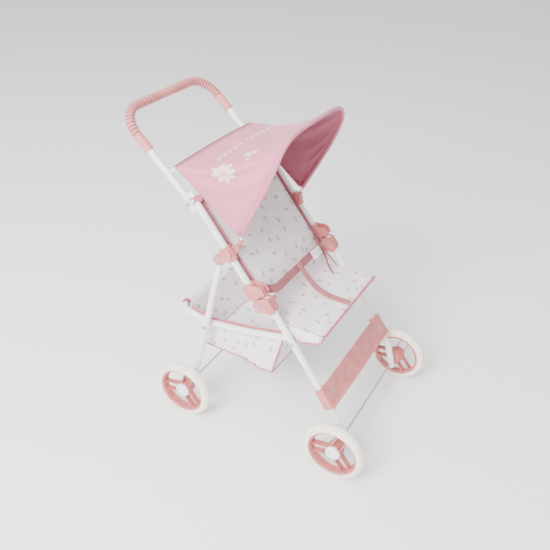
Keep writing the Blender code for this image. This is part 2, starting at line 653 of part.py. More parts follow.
def basket():
    """Open-topped fabric pouch that hangs inside the basket frame."""
    skin = TUBE_R + FIT + CLOTH
    half = BASKET_HALF - skin
    line = basket_line()
    front_top = between(line[0], line[1], 0.3)
    rear = (BASKET_REAR[0] - skin, BASKET_REAR[1])
    floor_z = STAY[1] - BASKET_DEPTH
    corner = max(BASKET_CORNER - skin, 2 * MM) + 3 * MM
    side_rim = [at(half, front_top), at(half, line[1]), at(half, line[2])]
    back_rim = rounded([at(half, line[2]), at(half, rear), at(0, rear)], corner, 4)[1:]
    left = side_rim + back_rim
    right = [Vector((-p.x, p.y, p.z)) for p in left[-2::-1]]
    rim_loop = left + right
    first, last = left[0].y, left[-1].y
    floor_first = first + 21 * MM
    floor_last = at(0, STAY).y + 9 * MM
    floor_loop = []
    for point in rim_loop:
        share = (point.y - first) / (last - first)
        floor_loop.append(Vector((point.x * 0.96, floor_first + (floor_last - floor_first) * share,
                                  floor_z + WHEEL_R)))
    bm = bmesh.new()
    loops = []
    for mix in (0, 0.5, 1):
        ring = []
        for top, low in zip(rim_loop, floor_loop):
            point = top.lerp(low, mix)
            ring.append(bm.verts.new(point))
        loops.append(ring)
    count = len(rim_loop)
    for upper, lower in zip(loops, loops[1:]):
        for i in range(count):
            j = (i + 1) % count
            bm.faces.new([upper[i], upper[j], lower[j], lower[i]])
    bm.faces.new(loops[-1])
    obj = mesh_object("basket", bm, PRINT_CLOTH)
    step = obj.modifiers.new("thickness", "SOLIDIFY")
    step.thickness = CLOTH
    step.offset = 0
    return obj


# ---------------------------------------------------------------- seat
def seat_panel():
    """Seat of the sling, from the knees down and forward over the seat bow."""
    half = PANEL_HALF
    top = along(KNEE, BACK_TILT, -2 * MM)
    z = SEAT_Z + SEAT_THICK / 2
    line = through([Vector((*p, 0)) for p in (
        top, (SEAT_REAR + 3 * MM, z + 14 * MM), (SEAT_REAR - 8 * MM, z + 1 * MM),
        (SEAT_REAR - 30 * MM, z), (SEAT_FRONT, z))], 3)
    outline = thick_line([(p.x, p.y) for p in line], SEAT_THICK / 2)
    return slab("seat_panel", outline, -half, half, PRINT_CLOTH)


def seat_back():
    """Back of the sling, between the back tubes."""
    low = along(KNEE, BACK_TILT, KNEE_R - SEAT_THICK)
    high = along(KNEE, BACK_TILT, SLING_TOP)
    line = [low, between(low, high, 0.5), high]
    return slab("seat_back", thick_line(line, SEAT_THICK / 2), -PANEL_HALF, PANEL_HALF,
                PRINT_CLOTH)


def strap(name, points, across, mat):
    """A flat strap: world points of its middle line, and the direction of its width."""
    across = Vector(across).normalized()
    half_w, half_t = STRAP_W / 2, CLOTH / 2
    bm = bmesh.new()
    rings = []
    for i, point in enumerate(points):
        run = (points[min(i + 1, len(points) - 1)] - points[max(i - 1, 0)]).normalized()
        out = run.cross(across).normalized()
        rings.append([bm.verts.new(point + across * w * half_w + out * t * half_t)
                      for w, t in ((1, 1), (-1, 1), (-1, -1), (1, -1))])
    for a, b in zip(rings, rings[1:]):
        for i in range(4):
            bm.faces.new([a[i], a[(i + 1) % 4], b[(i + 1) % 4], b[i]])
    bm.faces.new(rings[0])
    bm.faces.new(rings[-1][::-1])
    return mesh_object(name, bm, mat)


def lap_belt():
    """Lap belt from one side of the seat back to the other, just above the seat."""
    end = along(KNEE, BACK_TILT, 16 * MM)
    end = ahead(end, BACK_TILT, SEAT_THICK / 2 + FIT + CLOTH / 2)
    half = PANEL_HALF - 3 * MM
    bend = half - BELT_BEND
    path = rounded([at(-half, end), at(-bend, BELT), at(bend, BELT), at(half, end)], 20 * MM, 3)
    return strap("lap_belt", path, (0, cos(BACK_TILT), sin(BACK_TILT)), PINK_WEBBING)


def crotch_strap():
    """Strap from the seat's front edge back over the seat and up to the buckle."""
    z = SEAT_Z + SEAT_THICK + RUN + CLOTH / 2
    top = ahead(along(BELT, BACK_TILT, STRAP_W / 2), BACK_TILT, CLOTH + RUN)
    low = ahead(along(BELT, BACK_TILT, -STRAP_W * 0.7), BACK_TILT, CLOTH + RUN)
    path = through([at(0, (SEAT_FRONT + 4 * MM, z)), at(0, (SEAT_FRONT + 22 * MM, z)),
                    at(0, (SEAT_FRONT + 42 * MM, z + 2 * MM)),
                    at(0, (SEAT_FRONT + 62 * MM, z + 10 * MM)), at(0, low), at(0, top)], 3)
    return strap("crotch_strap", path, (1, 0, 0), PINK_WEBBING)


def buckle():
    """Plastic buckle in front of the lap belt's middle."""
    bm = bmesh.new()
    bmesh.ops.create_cube(bm, size=1)
    bmesh.ops.scale(bm, vec=(BUCKLE_W, BUCKLE_H, BUCKLE_T), verts=bm.verts)
    obj = mesh_object("buckle", bm, BUCKLE_WHITE)
    obj.location = at(BUCKLE_X, ahead(BELT, BACK_TILT, (CLOTH + BUCKLE_T) / 2 + RUN))
    obj.rotation_euler.x = BACK_TILT
    return bevel(obj, 1.2 * MM, 1)


# ---------------------------------------------------------------- canopy
def hoop_points():
    """World points of the hoop's centreline.  Each shape entry is (share of the height, share
    of the lean, share of the widest half width)."""
    right = []
    for up, lean, wide in HOOP_SHAPE:
        x = HOOP_HALF if wide is None else HOOP_WIDEST * wide
        right.append(at(-x, (HOOP[0] - HOOP_LEAN * lean, HOOP[1] + HOOP_HEIGHT * up)))
    left = [Vector((-p.x, p.y, p.z)) for p in right[::-1]]
    top = Vector((0, right[-1].y, right[-1].z))
    return through(right + [top] + left, 2)


def canopy_hoop():
    points = hoop_points()
    for end, next_point in ((0, 1), (-1, -2)):
        run = (points[next_point] - points[end]).normalized()
        points[end] = points[end] + run * (HOOP_SEAT + FIT)
    return tube("canopy_hoop", points, WIRE_HOOP_R, STEEL_WIRE, 2)


def hoop_direction():
    points = hoop_points()
    return (points[1] - points[0]).normalized()


def hoop_socket(side_name, side):
    """Small plastic clip that turns on the bracket's stub and holds the hoop's end."""
    run = hoop_direction()
    run = Vector((abs(run.x) * side, run.y, run.z))
    base = at(side * HOOP_HALF, HOOP)
    body = hull_plate(f"hoop_socket_{side_name}", [(HOOP, 4.6 * MM)],
                      side * HOOP_HALF - HOOP_EYE, side * HOOP_HALF + HOOP_EYE, PINK_PLASTIC)
    boolean(body, rod(f"socket_sleeve_{side_name}", base + run * 3.4 * MM, base + run * 11.5 * MM,
                      WIRE_HOOP_R + 1.6 * MM, None, 16, CUTTERS), "UNION")
    boolean(body, rod(f"socket_bore_{side_name}", base + run * HOOP_SEAT, base + run * 30 * MM,
                      WIRE_HOOP_R + FIT, None, 14, CUTTERS))
    return cross_hole(body, side * HOOP_HALF - 8 * MM, side * HOOP_HALF + 8 * MM, HOOP,
                      2 * MM + FIT, f"socket_eye_{side_name}")


def bar_points(corner=6 * MM):
    """World points of the arched bar between its two corners, from right to left."""
    arch = [ahead(BAR, HANDLE_TILT, BAR_ARCH * sin(pi * i / 12) ** 0.8) for i in range(13)]
    half = FRAME_HALF - corner
    return [at(half * (i / 6 - 1), point) for i, point in enumerate(arch)]


def canopy_bar():
    """Arched wire across the handle tubes that carries the canopy's rear hem."""
    x = FRAME_HALF
    foot = ahead(BAR_FOOT, HANDLE_TILT, 1.5 * MM)
    arch = bar_points()
    right = rounded([at(-x, foot), at(-x, BAR), arch[1]], 5 * MM, 4)[:-1]
    left = [Vector((-p.x, p.y, p.z)) for p in right[::-1]]
    return tube("canopy_bar", right + arch[1:-1] + left, WIRE_HOOP_R, STEEL_WIRE, 2)


def canopy():
    """One fabric sheet lofted from the rear bar and side hems to the hoop."""
    stand = WIRE_HOOP_R + FIT + CLOTH / 2
    front = hoop_points()[HEM_START:-HEM_START]
    lift = ahead((0, 0), HANDLE_TILT, stand)
    bar = [point + Vector((0, *lift)) for point in bar_points(0)]
    low = front[0] + Vector((0, 7 * MM, 1 * MM))
    side_hem = [low.lerp(bar[0], i / 3) for i in range(3)]
    rear = side_hem + bar + [Vector((-p.x, p.y, p.z)) for p in side_hem[::-1]]
    lengths = [0.0]
    for a, b in zip(rear, rear[1:]):
        lengths.append(lengths[-1] + (b - a).length)
    spans = [0.0]
    for a, b in zip(front, front[1:]):
        spans.append(spans[-1] + (b - a).length)

    def on_rear(share):
        """Side hems take the first and last parts of the loft, the bar the middle."""
        side_len = lengths[3] / lengths[-1]
        if share < SIDE_SHARE:
            share = share / SIDE_SHARE * side_len
        elif share > 1 - SIDE_SHARE:
            share = 1 - (1 - share) / SIDE_SHARE * side_len
        else:
            share = side_len + (share - SIDE_SHARE) / (1 - 2 * SIDE_SHARE) * (1 - 2 * side_len)
        distance = share * lengths[-1]
        for i in range(len(rear) - 1):
            if distance <= lengths[i + 1] + 1e-9:
                part = (distance - lengths[i]) / (lengths[i + 1] - lengths[i])
                return rear[i].lerp(rear[i + 1], part)
        return rear[-1].copy()

    rows = []
    ends = [(on_rear(span / spans[-1]), point) for span, point in zip(spans, front)]
    ends = [(start, end + (start - end).normalized() * (stand + CLOTH / 2)) for start, end in ends]
    for i in range(7):
        rows.append([start.lerp(end, i / 6) for start, end in ends])
    return sheet("canopy", rows, CLOTH, PINK_CLOTH)


# ---------------------------------------------------------------- wheels
def tyre(name, centre, side):
    inner = TYRE_FACE - TYRE_W
    bore = RIM_R + FIT
    middle = TYRE_FACE - TYRE_W / 2
    reach = WHEEL_R - bore
    arc = [(bore + reach * sin(pi * i / 8) ** 0.6, middle + TYRE_W / 2 * cos(pi * i / 8))
           for i in range(1, 8)]
    return turned(name, [(bore, TYRE_FACE)] + arc + [(bore, inner)], centre, side, CREAM_TYRE, 36)


def rim(name, centre, side):
    """Deep rim, hub and three double ribs in one moulding."""
    out, inn = TYRE_FACE - 1.5 * MM, TYRE_FACE - TYRE_W + 1.5 * MM
    ring = [(RIM_R, out), (RIM_R, inn), (RIM_R - RIM_WALL * 1.6, inn), (RIM_R - RIM_WALL, out)]
    body = turned(name, ring, centre, side, PINK_PLASTIC, 36)
    hole = WIRE_AXLE_R + FIT
    hub = turned(f"{name}_hub", [(HUB_R, HUB_OUT), (HUB_R, HUB_OUT - 12 * MM),
                                 (HUB_R - 2.5 * MM, HUB_IN), (hole, HUB_IN), (hole, HUB_OUT)],
                 centre, side, None, 24)
    middle = at(side * (HUB_OUT - 1 * MM - SPOKE_DEPTH / 2), centre)
    for i in range(3):
        for half in (-1, 1):
            bm = bmesh.new()
            bmesh.ops.create_cube(bm, size=1)
            inner = (HUB_R ** 2 - (SPOKE_PITCH / 2) ** 2) ** 0.5 - 2 * MM
            outer = RIM_R - RIM_WALL * 0.6
            bmesh.ops.scale(bm, vec=(SPOKE_DEPTH, SPOKE, outer - inner), verts=bm.verts)
            rib = mesh_object(f"{name}_rib_{i}_{'ab'[half > 0]}", bm, None, CUTTERS)
            shift = Matrix.Translation((0, half * SPOKE_PITCH / 2, (inner + outer) / 2))
            rib.matrix_world = (Matrix.Translation(middle)
                                @ Matrix.Rotation(2 * pi * i / 3 + radians(20), 4, "X") @ shift)
            boolean(body, rib, "UNION")
    return boolean(body, hub, "UNION")


def hub_cap(name, centre, side):
    """Domed cap pressed over the hub and the axle's end."""
    base = HUB_OUT + FIT
    hole = WIRE_AXLE_R + FIT
    depth = 2 * MM
    profile = [(0, base + CAP_H), (CAP_R * 0.55, base + CAP_H * 0.92), (CAP_R * 0.9, base + CAP_H * 0.6),
               (CAP_R, base + CAP_H * 0.2), (CAP_R, base), (hole, base), (hole, base + depth),
               (0, base + depth)]
    return turned(name, profile, centre, side, CAP_WHITE, 24)


# ---------------------------------------------------------------- assembly
def build():
    for side_name, side in SIDES.items():
        x_in = FRAME_HALF - TUBE_R
        x_out = FRAME_HALF + TUBE_R + FIT
        front_leg(side_name, side)
        back_tube(side_name, side)
        rear_leg(side_name, side)
        knee_socket(side_name, side)
        hinge_bracket(side_name, side)
        lock_slider(side_name, side)
        lap_plate(side_name, side)
        footrest_screw(side_name, side)
        hoop_socket(side_name, side)
        rivet(f"knee_rivet_{side_name}", side, KNEE, FRAME_HALF - FITTING_HALF - FIT,
              FRAME_HALF + FITTING_HALF + FIT)
        cheek = TUBE_R + RUN + SHELL + FIT
        rivet(f"hip_rivet_{side_name}", side, HIP, FRAME_HALF - cheek, FRAME_HALF + cheek)
        rivet(f"brace_rivet_{side_name}", side, BRACE, BASKET_HALF - TUBE_R - FIT, x_out)
        rivet(f"stay_rivet_{side_name}", side, STAY, x_in - FIT, x_out)
        plate_in = x_in - FIT - 1.2 * MM - FIT
        rivet(f"lap_rivet_back_{side_name}", side, lap_point(0), plate_in, x_out)
        rivet(f"lap_rivet_handle_{side_name}", side, lap_point(LAP_OFFSET), plate_in, x_out)
        for place_name, centre in (("front", FRONT_AXLE), ("rear", REAR_AXLE)):
            tag = f"{place_name}_{side_name}"
            tyre(f"tyre_{tag}", centre, side)
            rim(f"rim_{tag}", centre, side)
            hub_cap(f"hub_cap_{tag}", centre, side)
    handle_tube()
    handle_grip()
    canopy_hoop()
    canopy_bar()
    canopy()
    seat_panel()
    seat_back()
    lap_belt()
    crotch_strap()
    buckle()
    footrest()
    seat_bow()
    axle("front_axle", FRONT_AXLE)
    axle("rear_axle", REAR_AXLE)
    basket_frame()
    basket()


# ---------------------------------------------------------------- joints
def both(*stems):
    return [f"{stem}_{side_name}" for stem in stems for side_name in SIDES]


def hang(names, empty):
    """Hang pieces and the cutters that shape them from a joint's empty, where they are."""
    for name in names:
        piece = bpy.data.objects[name]
        shaped_by = [step.object for step in piece.modifiers if step.type == "BOOLEAN"]
        for obj in [piece] + shaped_by:
            obj.parent = empty
            obj.matrix_parent_inverse = empty.matrix_world.inverted()


def add_joints():
    """An empty on each joint's axis; turning or sliding it moves its pieces."""
    back = both("back_tube", "lap_plate", "lap_rivet_back", "lap_rivet_handle", "hinge_bracket",
                "hip_rivet") + ["handle_tube", "handle_grip", "canopy_bar", "seat_back", "canopy"]
    lock = along(KNEE, BACK_TILT, LOCK_UP + LOCK_LENGTH / 2)
    joints = [("fold", None, at(0, KNEE), back),
              ("hip", "fold", at(0, HIP), both("rear_leg", "stay_rivet") + ["rear_axle"]),
              ("brace", None, at(0, BRACE), ["basket_frame", "basket"]),
              ("canopy_tilt", "fold", at(0, HOOP), both("hoop_socket") + ["canopy_hoop"])]
    for side_name, side in SIDES.items():
        joints.append((f"lock_{side_name}", "fold", at(side * FRAME_HALF, lock),
                       [f"lock_slider_{side_name}"]))
        for place_name, centre, carrier in (("front", FRONT_AXLE, None), ("rear", REAR_AXLE, "hip")):
            tag = f"{place_name}_{side_name}"
            joints.append((f"spin_{tag}", carrier, at(side * (TYRE_FACE - TYRE_W / 2), centre),
                           [f"tyre_{tag}", f"rim_{tag}", f"hub_cap_{tag}"]))
    for name, carrier, spot, moved in joints:
        empty = bpy.data.objects.new(f"joint_{name}", None)
        empty.empty_display_size = 20 * MM
        empty.location = spot
        PARTS.objects.link(empty)
        bpy.context.view_layer.update()
        if carrier:
            empty.parent = bpy.data.objects[f"joint_{carrier}"]
            empty.matrix_parent_inverse = empty.parent.matrix_world.inverted()
            bpy.context.view_layer.update()
        hang(moved, empty)
    bpy.context.view_layer.update()


build()
add_joints()
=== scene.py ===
"""Doll stroller: powder-coated tube frame, moulded fittings, sewn canopy, padded sling seat, basket and wheels."""
import json
from math import cos, hypot, pi, radians, sin

import bmesh
import bpy
import numpy as np
from mathutils import Matrix, Vector, noise
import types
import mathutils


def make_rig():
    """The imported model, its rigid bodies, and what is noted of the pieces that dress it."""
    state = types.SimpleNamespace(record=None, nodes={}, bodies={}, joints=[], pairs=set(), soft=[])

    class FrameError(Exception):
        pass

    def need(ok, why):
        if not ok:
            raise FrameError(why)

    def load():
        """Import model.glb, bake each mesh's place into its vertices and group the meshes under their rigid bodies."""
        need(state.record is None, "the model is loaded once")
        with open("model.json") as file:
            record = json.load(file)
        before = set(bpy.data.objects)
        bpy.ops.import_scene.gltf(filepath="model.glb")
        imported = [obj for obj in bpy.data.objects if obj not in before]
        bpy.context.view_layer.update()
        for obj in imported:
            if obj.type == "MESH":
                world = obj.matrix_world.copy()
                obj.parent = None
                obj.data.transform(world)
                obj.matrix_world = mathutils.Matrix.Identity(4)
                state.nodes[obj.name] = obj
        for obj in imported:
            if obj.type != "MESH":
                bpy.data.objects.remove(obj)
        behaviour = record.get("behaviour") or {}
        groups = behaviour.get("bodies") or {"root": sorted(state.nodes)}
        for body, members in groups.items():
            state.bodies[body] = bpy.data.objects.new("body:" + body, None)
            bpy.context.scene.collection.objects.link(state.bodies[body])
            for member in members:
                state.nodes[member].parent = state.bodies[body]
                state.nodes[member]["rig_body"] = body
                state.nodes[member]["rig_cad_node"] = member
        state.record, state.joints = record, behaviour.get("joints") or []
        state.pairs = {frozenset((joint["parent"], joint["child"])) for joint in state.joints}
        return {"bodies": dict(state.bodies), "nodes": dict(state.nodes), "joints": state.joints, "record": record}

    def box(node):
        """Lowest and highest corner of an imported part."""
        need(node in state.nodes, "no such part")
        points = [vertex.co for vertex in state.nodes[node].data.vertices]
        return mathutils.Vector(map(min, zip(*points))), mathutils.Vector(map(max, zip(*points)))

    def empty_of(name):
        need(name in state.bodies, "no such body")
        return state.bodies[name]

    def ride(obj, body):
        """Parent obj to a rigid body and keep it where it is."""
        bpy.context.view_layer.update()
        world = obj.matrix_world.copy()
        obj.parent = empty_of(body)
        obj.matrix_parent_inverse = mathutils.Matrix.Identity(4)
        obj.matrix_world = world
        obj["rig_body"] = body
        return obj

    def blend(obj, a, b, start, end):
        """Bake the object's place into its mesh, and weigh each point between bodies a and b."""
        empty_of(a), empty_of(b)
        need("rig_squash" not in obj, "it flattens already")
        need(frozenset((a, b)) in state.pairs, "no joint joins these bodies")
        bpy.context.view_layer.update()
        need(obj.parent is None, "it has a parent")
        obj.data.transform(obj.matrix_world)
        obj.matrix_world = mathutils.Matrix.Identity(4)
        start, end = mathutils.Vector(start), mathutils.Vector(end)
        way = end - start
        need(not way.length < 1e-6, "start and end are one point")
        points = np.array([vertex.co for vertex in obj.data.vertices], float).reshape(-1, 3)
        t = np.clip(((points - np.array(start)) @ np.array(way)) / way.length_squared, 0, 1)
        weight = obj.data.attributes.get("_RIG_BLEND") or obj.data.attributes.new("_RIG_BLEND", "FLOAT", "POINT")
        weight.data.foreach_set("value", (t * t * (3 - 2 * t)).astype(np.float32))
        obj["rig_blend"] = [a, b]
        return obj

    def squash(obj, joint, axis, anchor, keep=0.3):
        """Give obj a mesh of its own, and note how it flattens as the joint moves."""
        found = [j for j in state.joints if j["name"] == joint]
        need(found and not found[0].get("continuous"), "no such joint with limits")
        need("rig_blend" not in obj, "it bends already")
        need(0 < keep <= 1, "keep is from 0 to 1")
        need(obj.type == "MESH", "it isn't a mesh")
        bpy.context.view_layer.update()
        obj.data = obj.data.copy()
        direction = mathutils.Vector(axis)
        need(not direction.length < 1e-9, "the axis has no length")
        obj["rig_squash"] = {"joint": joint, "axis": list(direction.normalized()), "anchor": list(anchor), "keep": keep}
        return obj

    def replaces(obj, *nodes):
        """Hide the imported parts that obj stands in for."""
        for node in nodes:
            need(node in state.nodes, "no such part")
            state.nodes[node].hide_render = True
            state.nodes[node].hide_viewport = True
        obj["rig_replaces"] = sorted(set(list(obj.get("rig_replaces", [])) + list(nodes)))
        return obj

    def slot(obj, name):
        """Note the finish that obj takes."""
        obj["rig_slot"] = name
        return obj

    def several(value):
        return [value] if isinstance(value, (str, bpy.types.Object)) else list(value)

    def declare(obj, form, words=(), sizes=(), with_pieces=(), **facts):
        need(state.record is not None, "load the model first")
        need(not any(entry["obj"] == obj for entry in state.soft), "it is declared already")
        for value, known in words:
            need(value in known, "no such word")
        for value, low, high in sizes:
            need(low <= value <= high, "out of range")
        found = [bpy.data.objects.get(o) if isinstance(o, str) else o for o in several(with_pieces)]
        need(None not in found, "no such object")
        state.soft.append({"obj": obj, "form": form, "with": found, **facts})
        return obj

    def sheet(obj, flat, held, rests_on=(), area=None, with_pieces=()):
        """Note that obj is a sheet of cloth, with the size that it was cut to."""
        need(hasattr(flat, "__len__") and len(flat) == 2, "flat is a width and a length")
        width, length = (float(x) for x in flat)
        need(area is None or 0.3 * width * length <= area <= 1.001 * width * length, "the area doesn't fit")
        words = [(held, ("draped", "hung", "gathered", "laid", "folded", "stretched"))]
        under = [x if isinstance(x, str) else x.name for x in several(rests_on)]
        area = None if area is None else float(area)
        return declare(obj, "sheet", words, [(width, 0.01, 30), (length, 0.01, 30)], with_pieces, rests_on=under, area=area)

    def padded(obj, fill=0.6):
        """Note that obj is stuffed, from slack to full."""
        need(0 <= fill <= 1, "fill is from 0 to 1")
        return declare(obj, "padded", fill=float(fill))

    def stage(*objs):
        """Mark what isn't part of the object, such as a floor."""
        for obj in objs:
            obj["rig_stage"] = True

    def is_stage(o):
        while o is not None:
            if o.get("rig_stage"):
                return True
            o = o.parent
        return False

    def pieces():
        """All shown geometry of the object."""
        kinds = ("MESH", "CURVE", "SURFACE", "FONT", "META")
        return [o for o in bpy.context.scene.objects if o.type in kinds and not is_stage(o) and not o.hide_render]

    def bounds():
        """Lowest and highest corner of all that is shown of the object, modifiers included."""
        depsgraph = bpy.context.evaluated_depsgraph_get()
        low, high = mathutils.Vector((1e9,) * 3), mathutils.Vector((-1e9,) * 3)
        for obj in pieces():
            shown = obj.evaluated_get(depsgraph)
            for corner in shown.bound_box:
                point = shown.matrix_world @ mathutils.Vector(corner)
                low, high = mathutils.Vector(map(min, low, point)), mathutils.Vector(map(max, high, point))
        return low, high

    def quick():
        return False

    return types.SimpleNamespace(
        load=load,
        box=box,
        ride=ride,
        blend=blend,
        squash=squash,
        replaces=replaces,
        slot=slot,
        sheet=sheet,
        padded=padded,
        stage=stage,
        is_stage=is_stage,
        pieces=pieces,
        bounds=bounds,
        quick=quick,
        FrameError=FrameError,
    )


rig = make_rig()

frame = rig.load()
cad_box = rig.bounds()
nodes = frame["nodes"]
pivot = {j["name"]: Vector(j["pos_m"]) for j in frame["joints"] if "pos_m" in j}
MM = 0.001
SIDES = {"left": 1, "right": -1}

# ------------------------------------------------------------------ sizes, from the frame
TUBE_X = 101 * MM
TUBE_R = 5 * MM
LEG_TILT = radians(53.4)
LEG_AHEAD = 13.4 * MM          # from the knee pivot to the front leg's line
BACK_TILT = radians(51)
HANDLE_TILT = radians(42.5)
KNEE, HIP, HOOP, BRACE = pivot["fold"], pivot["hip"], pivot["canopy_tilt"], pivot["brace"]
FRONT_AXLE, REAR_AXLE = pivot["spin_front_left"], pivot["spin_rear_left"]
WHEEL_R = FRONT_AXLE.z
UP_LEG = Vector((0, cos(LEG_TILT), sin(LEG_TILT)))
OUT_LEG = Vector((0, -sin(LEG_TILT), cos(LEG_TILT)))
UP_BACK = Vector((0, cos(BACK_TILT), sin(BACK_TILT)))
OUT_BACK = Vector((0, -sin(BACK_TILT), cos(BACK_TILT)))
UP_HANDLE = Vector((0, cos(HANDLE_TILT), sin(HANDLE_TILT)))
OUT_HANDLE = Vector((0, -sin(HANDLE_TILT), cos(HANDLE_TILT)))


def middle(node):
    low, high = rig.box(node)
    return (low + high) / 2


def at_x(x, point):
    return Vector((x, point.y, point.z))


# ------------------------------------------------------------------ node materials
def linear(code):
    """sRGB hex to linear RGBA."""
    parts = [int(code[i:i + 2], 16) / 255 for i in (1, 3, 5)]
    return tuple(c / 12.92 if c <= 0.04045 else ((c + 0.055) / 1.055) ** 2.4 for c in parts) + (1.0,)


def add(tree, kind, sockets=None, **settings):
    """Add one node: settings are its properties; sockets hold values or other nodes' outputs."""
    made = tree.nodes.new(kind)
    for key, value in settings.items():
        setattr(made, key, value)
    for key, value in (sockets or {}).items():
        if isinstance(value, bpy.types.NodeSocket):
            tree.links.new(value, made.inputs[key])
        else:
            made.inputs[key].default_value = value
    return made


def blank(name, roughness, metallic=0.0, ior=1.5, **sockets):
    """A Principled material; returns it with its tree and shader."""
    made = bpy.data.materials.new(name)
    made.use_nodes = True
    shader = made.node_tree.nodes["Principled BSDF"]
    shader.inputs["Roughness"].default_value = roughness
    shader.inputs["Metallic"].default_value = metallic
    shader.inputs["IOR"].default_value = ior
    for key, value in sockets.items():
        shader.inputs[key.replace("_", " ")].default_value = value
    return made, made.node_tree, shader


def mixed(tree, factor, first, second, blend="MIX"):
    mix = add(tree, "ShaderNodeMix", data_type="RGBA", blend_type=blend)
    for slot, value in ((0, factor), (6, first), (7, second)):
        if isinstance(value, bpy.types.NodeSocket):
            tree.links.new(value, mix.inputs[slot])
        else:
            mix.inputs[slot].default_value = value
    return mix.outputs[2]


def sums(tree, operation, first, second=0.0):
    return add(tree, "ShaderNodeMath", {0: first, 1: second}, operation=operation).outputs[0]


def object_mm(tree):
    """Object coordinates in millimetres."""
    place = add(tree, "ShaderNodeTexCoord").outputs["Object"]
    return add(tree, "ShaderNodeVectorMath", {0: place, "Scale": 1000.0},
               operation="SCALE").outputs[0]


def cloth_mm(tree):
    """The cloth's own flat coordinates, stored in metres, in millimetres."""
    place = add(tree, "ShaderNodeUVMap", uv_map="cloth").outputs[0]
    return add(tree, "ShaderNodeVectorMath", {0: place, "Scale": 1000.0},
               operation="SCALE").outputs[0]


def speckle(tree, place, size_mm, detail=2.0):
    return add(tree, "ShaderNodeTexNoise", {"Vector": place, "Scale": 1 / size_mm,
                                            "Detail": detail}).outputs[0]


def bump(tree, shader, height, depth_mm, strength=1.0):
    made = add(tree, "ShaderNodeBump", {"Height": height, "Strength": strength,
                                        "Distance": depth_mm * MM})
    tree.links.new(made.outputs[0], shader.inputs["Normal"])
    return made


def ranged(tree, value, low, high, out_low, out_high):
    return add(tree, "ShaderNodeMapRange", {"Value": value, "From Min": low, "From Max": high,
                                            "To Min": out_low, "To Max": out_high}).outputs[0]


def powder_coat(name, code):
    """Polyester powder coat on steel tube: a hard gloss film with faint orange peel."""
    made, tree, shader = blank(name, 0.3, Coat_Weight=0.35, Coat_Roughness=0.18)
    place = object_mm(tree)
    peel = speckle(tree, place, 1.6)
    smear = speckle(tree, place, 22, 3)
    tree.links.new(mixed(tree, ranged(tree, smear, 0.35, 0.7, 0, 1), linear(code),
                         linear("#E8E8E4")), shader.inputs["Base Color"])
    tree.links.new(ranged(tree, smear, 0.3, 0.7, 0.26, 0.36), shader.inputs["Roughness"])
    bump(tree, shader, peel, 0.03, 0.5)
    return made


def moulded_plastic(name, code, deep, roughness=0.42):
    """Injection-moulded polypropylene with a fine spark-eroded texture; slightly waxy."""
    made, tree, shader = blank(name, roughness, ior=1.49, Subsurface_Weight=0.04,
                               Subsurface_Scale=0.002)
    place = object_mm(tree)
    grain = speckle(tree, place, 0.5, 3)
    flow = speckle(tree, place, 14, 2)
    tree.links.new(mixed(tree, ranged(tree, flow, 0.35, 0.65, 0, 1), linear(code), linear(deep)),
                   shader.inputs["Base Color"])
    tree.links.new(ranged(tree, flow, 0.3, 0.7, roughness - 0.05, roughness + 0.07),
                   shader.inputs["Roughness"])
    bump(tree, shader, grain, 0.04, 0.35)
    return made


def soft_grip(name, code, deep):
    """Thermoplastic rubber sleeve: matte, with painted shade darkening the grooves between its ribs."""
    made, tree, shader = blank(name, 0.58, ior=1.52, Sheen_Weight=0.15, Sheen_Roughness=0.5)
    place = object_mm(tree)
    groove_shade = add(tree, "ShaderNodeAttribute", attribute_name="groove_shade").outputs["Fac"]
    wear = speckle(tree, place, 9, 3)
    base = mixed(tree, ranged(tree, wear, 0.35, 0.7, 0, 0.6), linear(code), linear("#D78E8B"))
    # painted shade: the grooves between the ribs are mixed towards the dark colour
    tree.links.new(mixed(tree, groove_shade, base, linear(deep)), shader.inputs["Base Color"])
    bump(tree, shader, speckle(tree, place, 0.35, 2), 0.05, 0.4)
    return made


def foam_tyre(name, code):
    """Moulded EVA foam: closed-cell skin with fine pores and a dull face."""
    made, tree, shader = blank(name, 0.66, ior=1.45, Subsurface_Weight=0.1, Subsurface_Scale=0.003)
    place = object_mm(tree)
    cells = add(tree, "ShaderNodeTexVoronoi", {"Vector": place, "Scale": 1 / 0.9}).outputs["Distance"]
    dust = speckle(tree, place, 12, 4)
    tree.links.new(mixed(tree, ranged(tree, dust, 0.4, 0.72, 0, 1), linear(code),
                         linear("#E6DCCF")), shader.inputs["Base Color"])
    bump(tree, shader, cells, 0.05, 0.35)
    return made


def bright_wire(name, code, roughness):
    """Zinc-plated steel wire and rivets: bright, with fine drawing lines along it."""
    made, tree, shader = blank(name, roughness, 1.0)
    place = object_mm(tree)
    stretched = add(tree, "ShaderNodeMapping", {"Vector": place, "Scale": (0.4, 3.0, 3.0)})
    lines = speckle(tree, stretched.outputs[0], 0.8, 3)
    tree.links.new(mixed(tree, lines, linear(code), linear("#B9B9BC")), shader.inputs["Base Color"])
    tree.links.new(ranged(tree, lines, 0.3, 0.7, roughness - 0.06, roughness + 0.1),
                   shader.inputs["Roughness"])
    bump(tree, shader, lines, 0.01, 0.3)
    return made


def weave(tree, place, pitch_mm):
    """Plain weave: two crossed sets of threads that pass over and under each other."""
    split = add(tree, "ShaderNodeSeparateXYZ", {0: place})
    warp = sums(tree, "SINE", sums(tree, "MULTIPLY", split.outputs[0], pi / pitch_mm))
    weft = sums(tree, "SINE", sums(tree, "MULTIPLY", split.outputs[1], pi / pitch_mm))
    over = sums(tree, "MULTIPLY", warp, weft)
    ridges = sums(tree, "ADD", sums(tree, "ABSOLUTE", warp), sums(tree, "ABSOLUTE", weft))
    return sums(tree, "ADD", sums(tree, "MULTIPLY", over, 0.5), sums(tree, "MULTIPLY", ridges, 0.35))


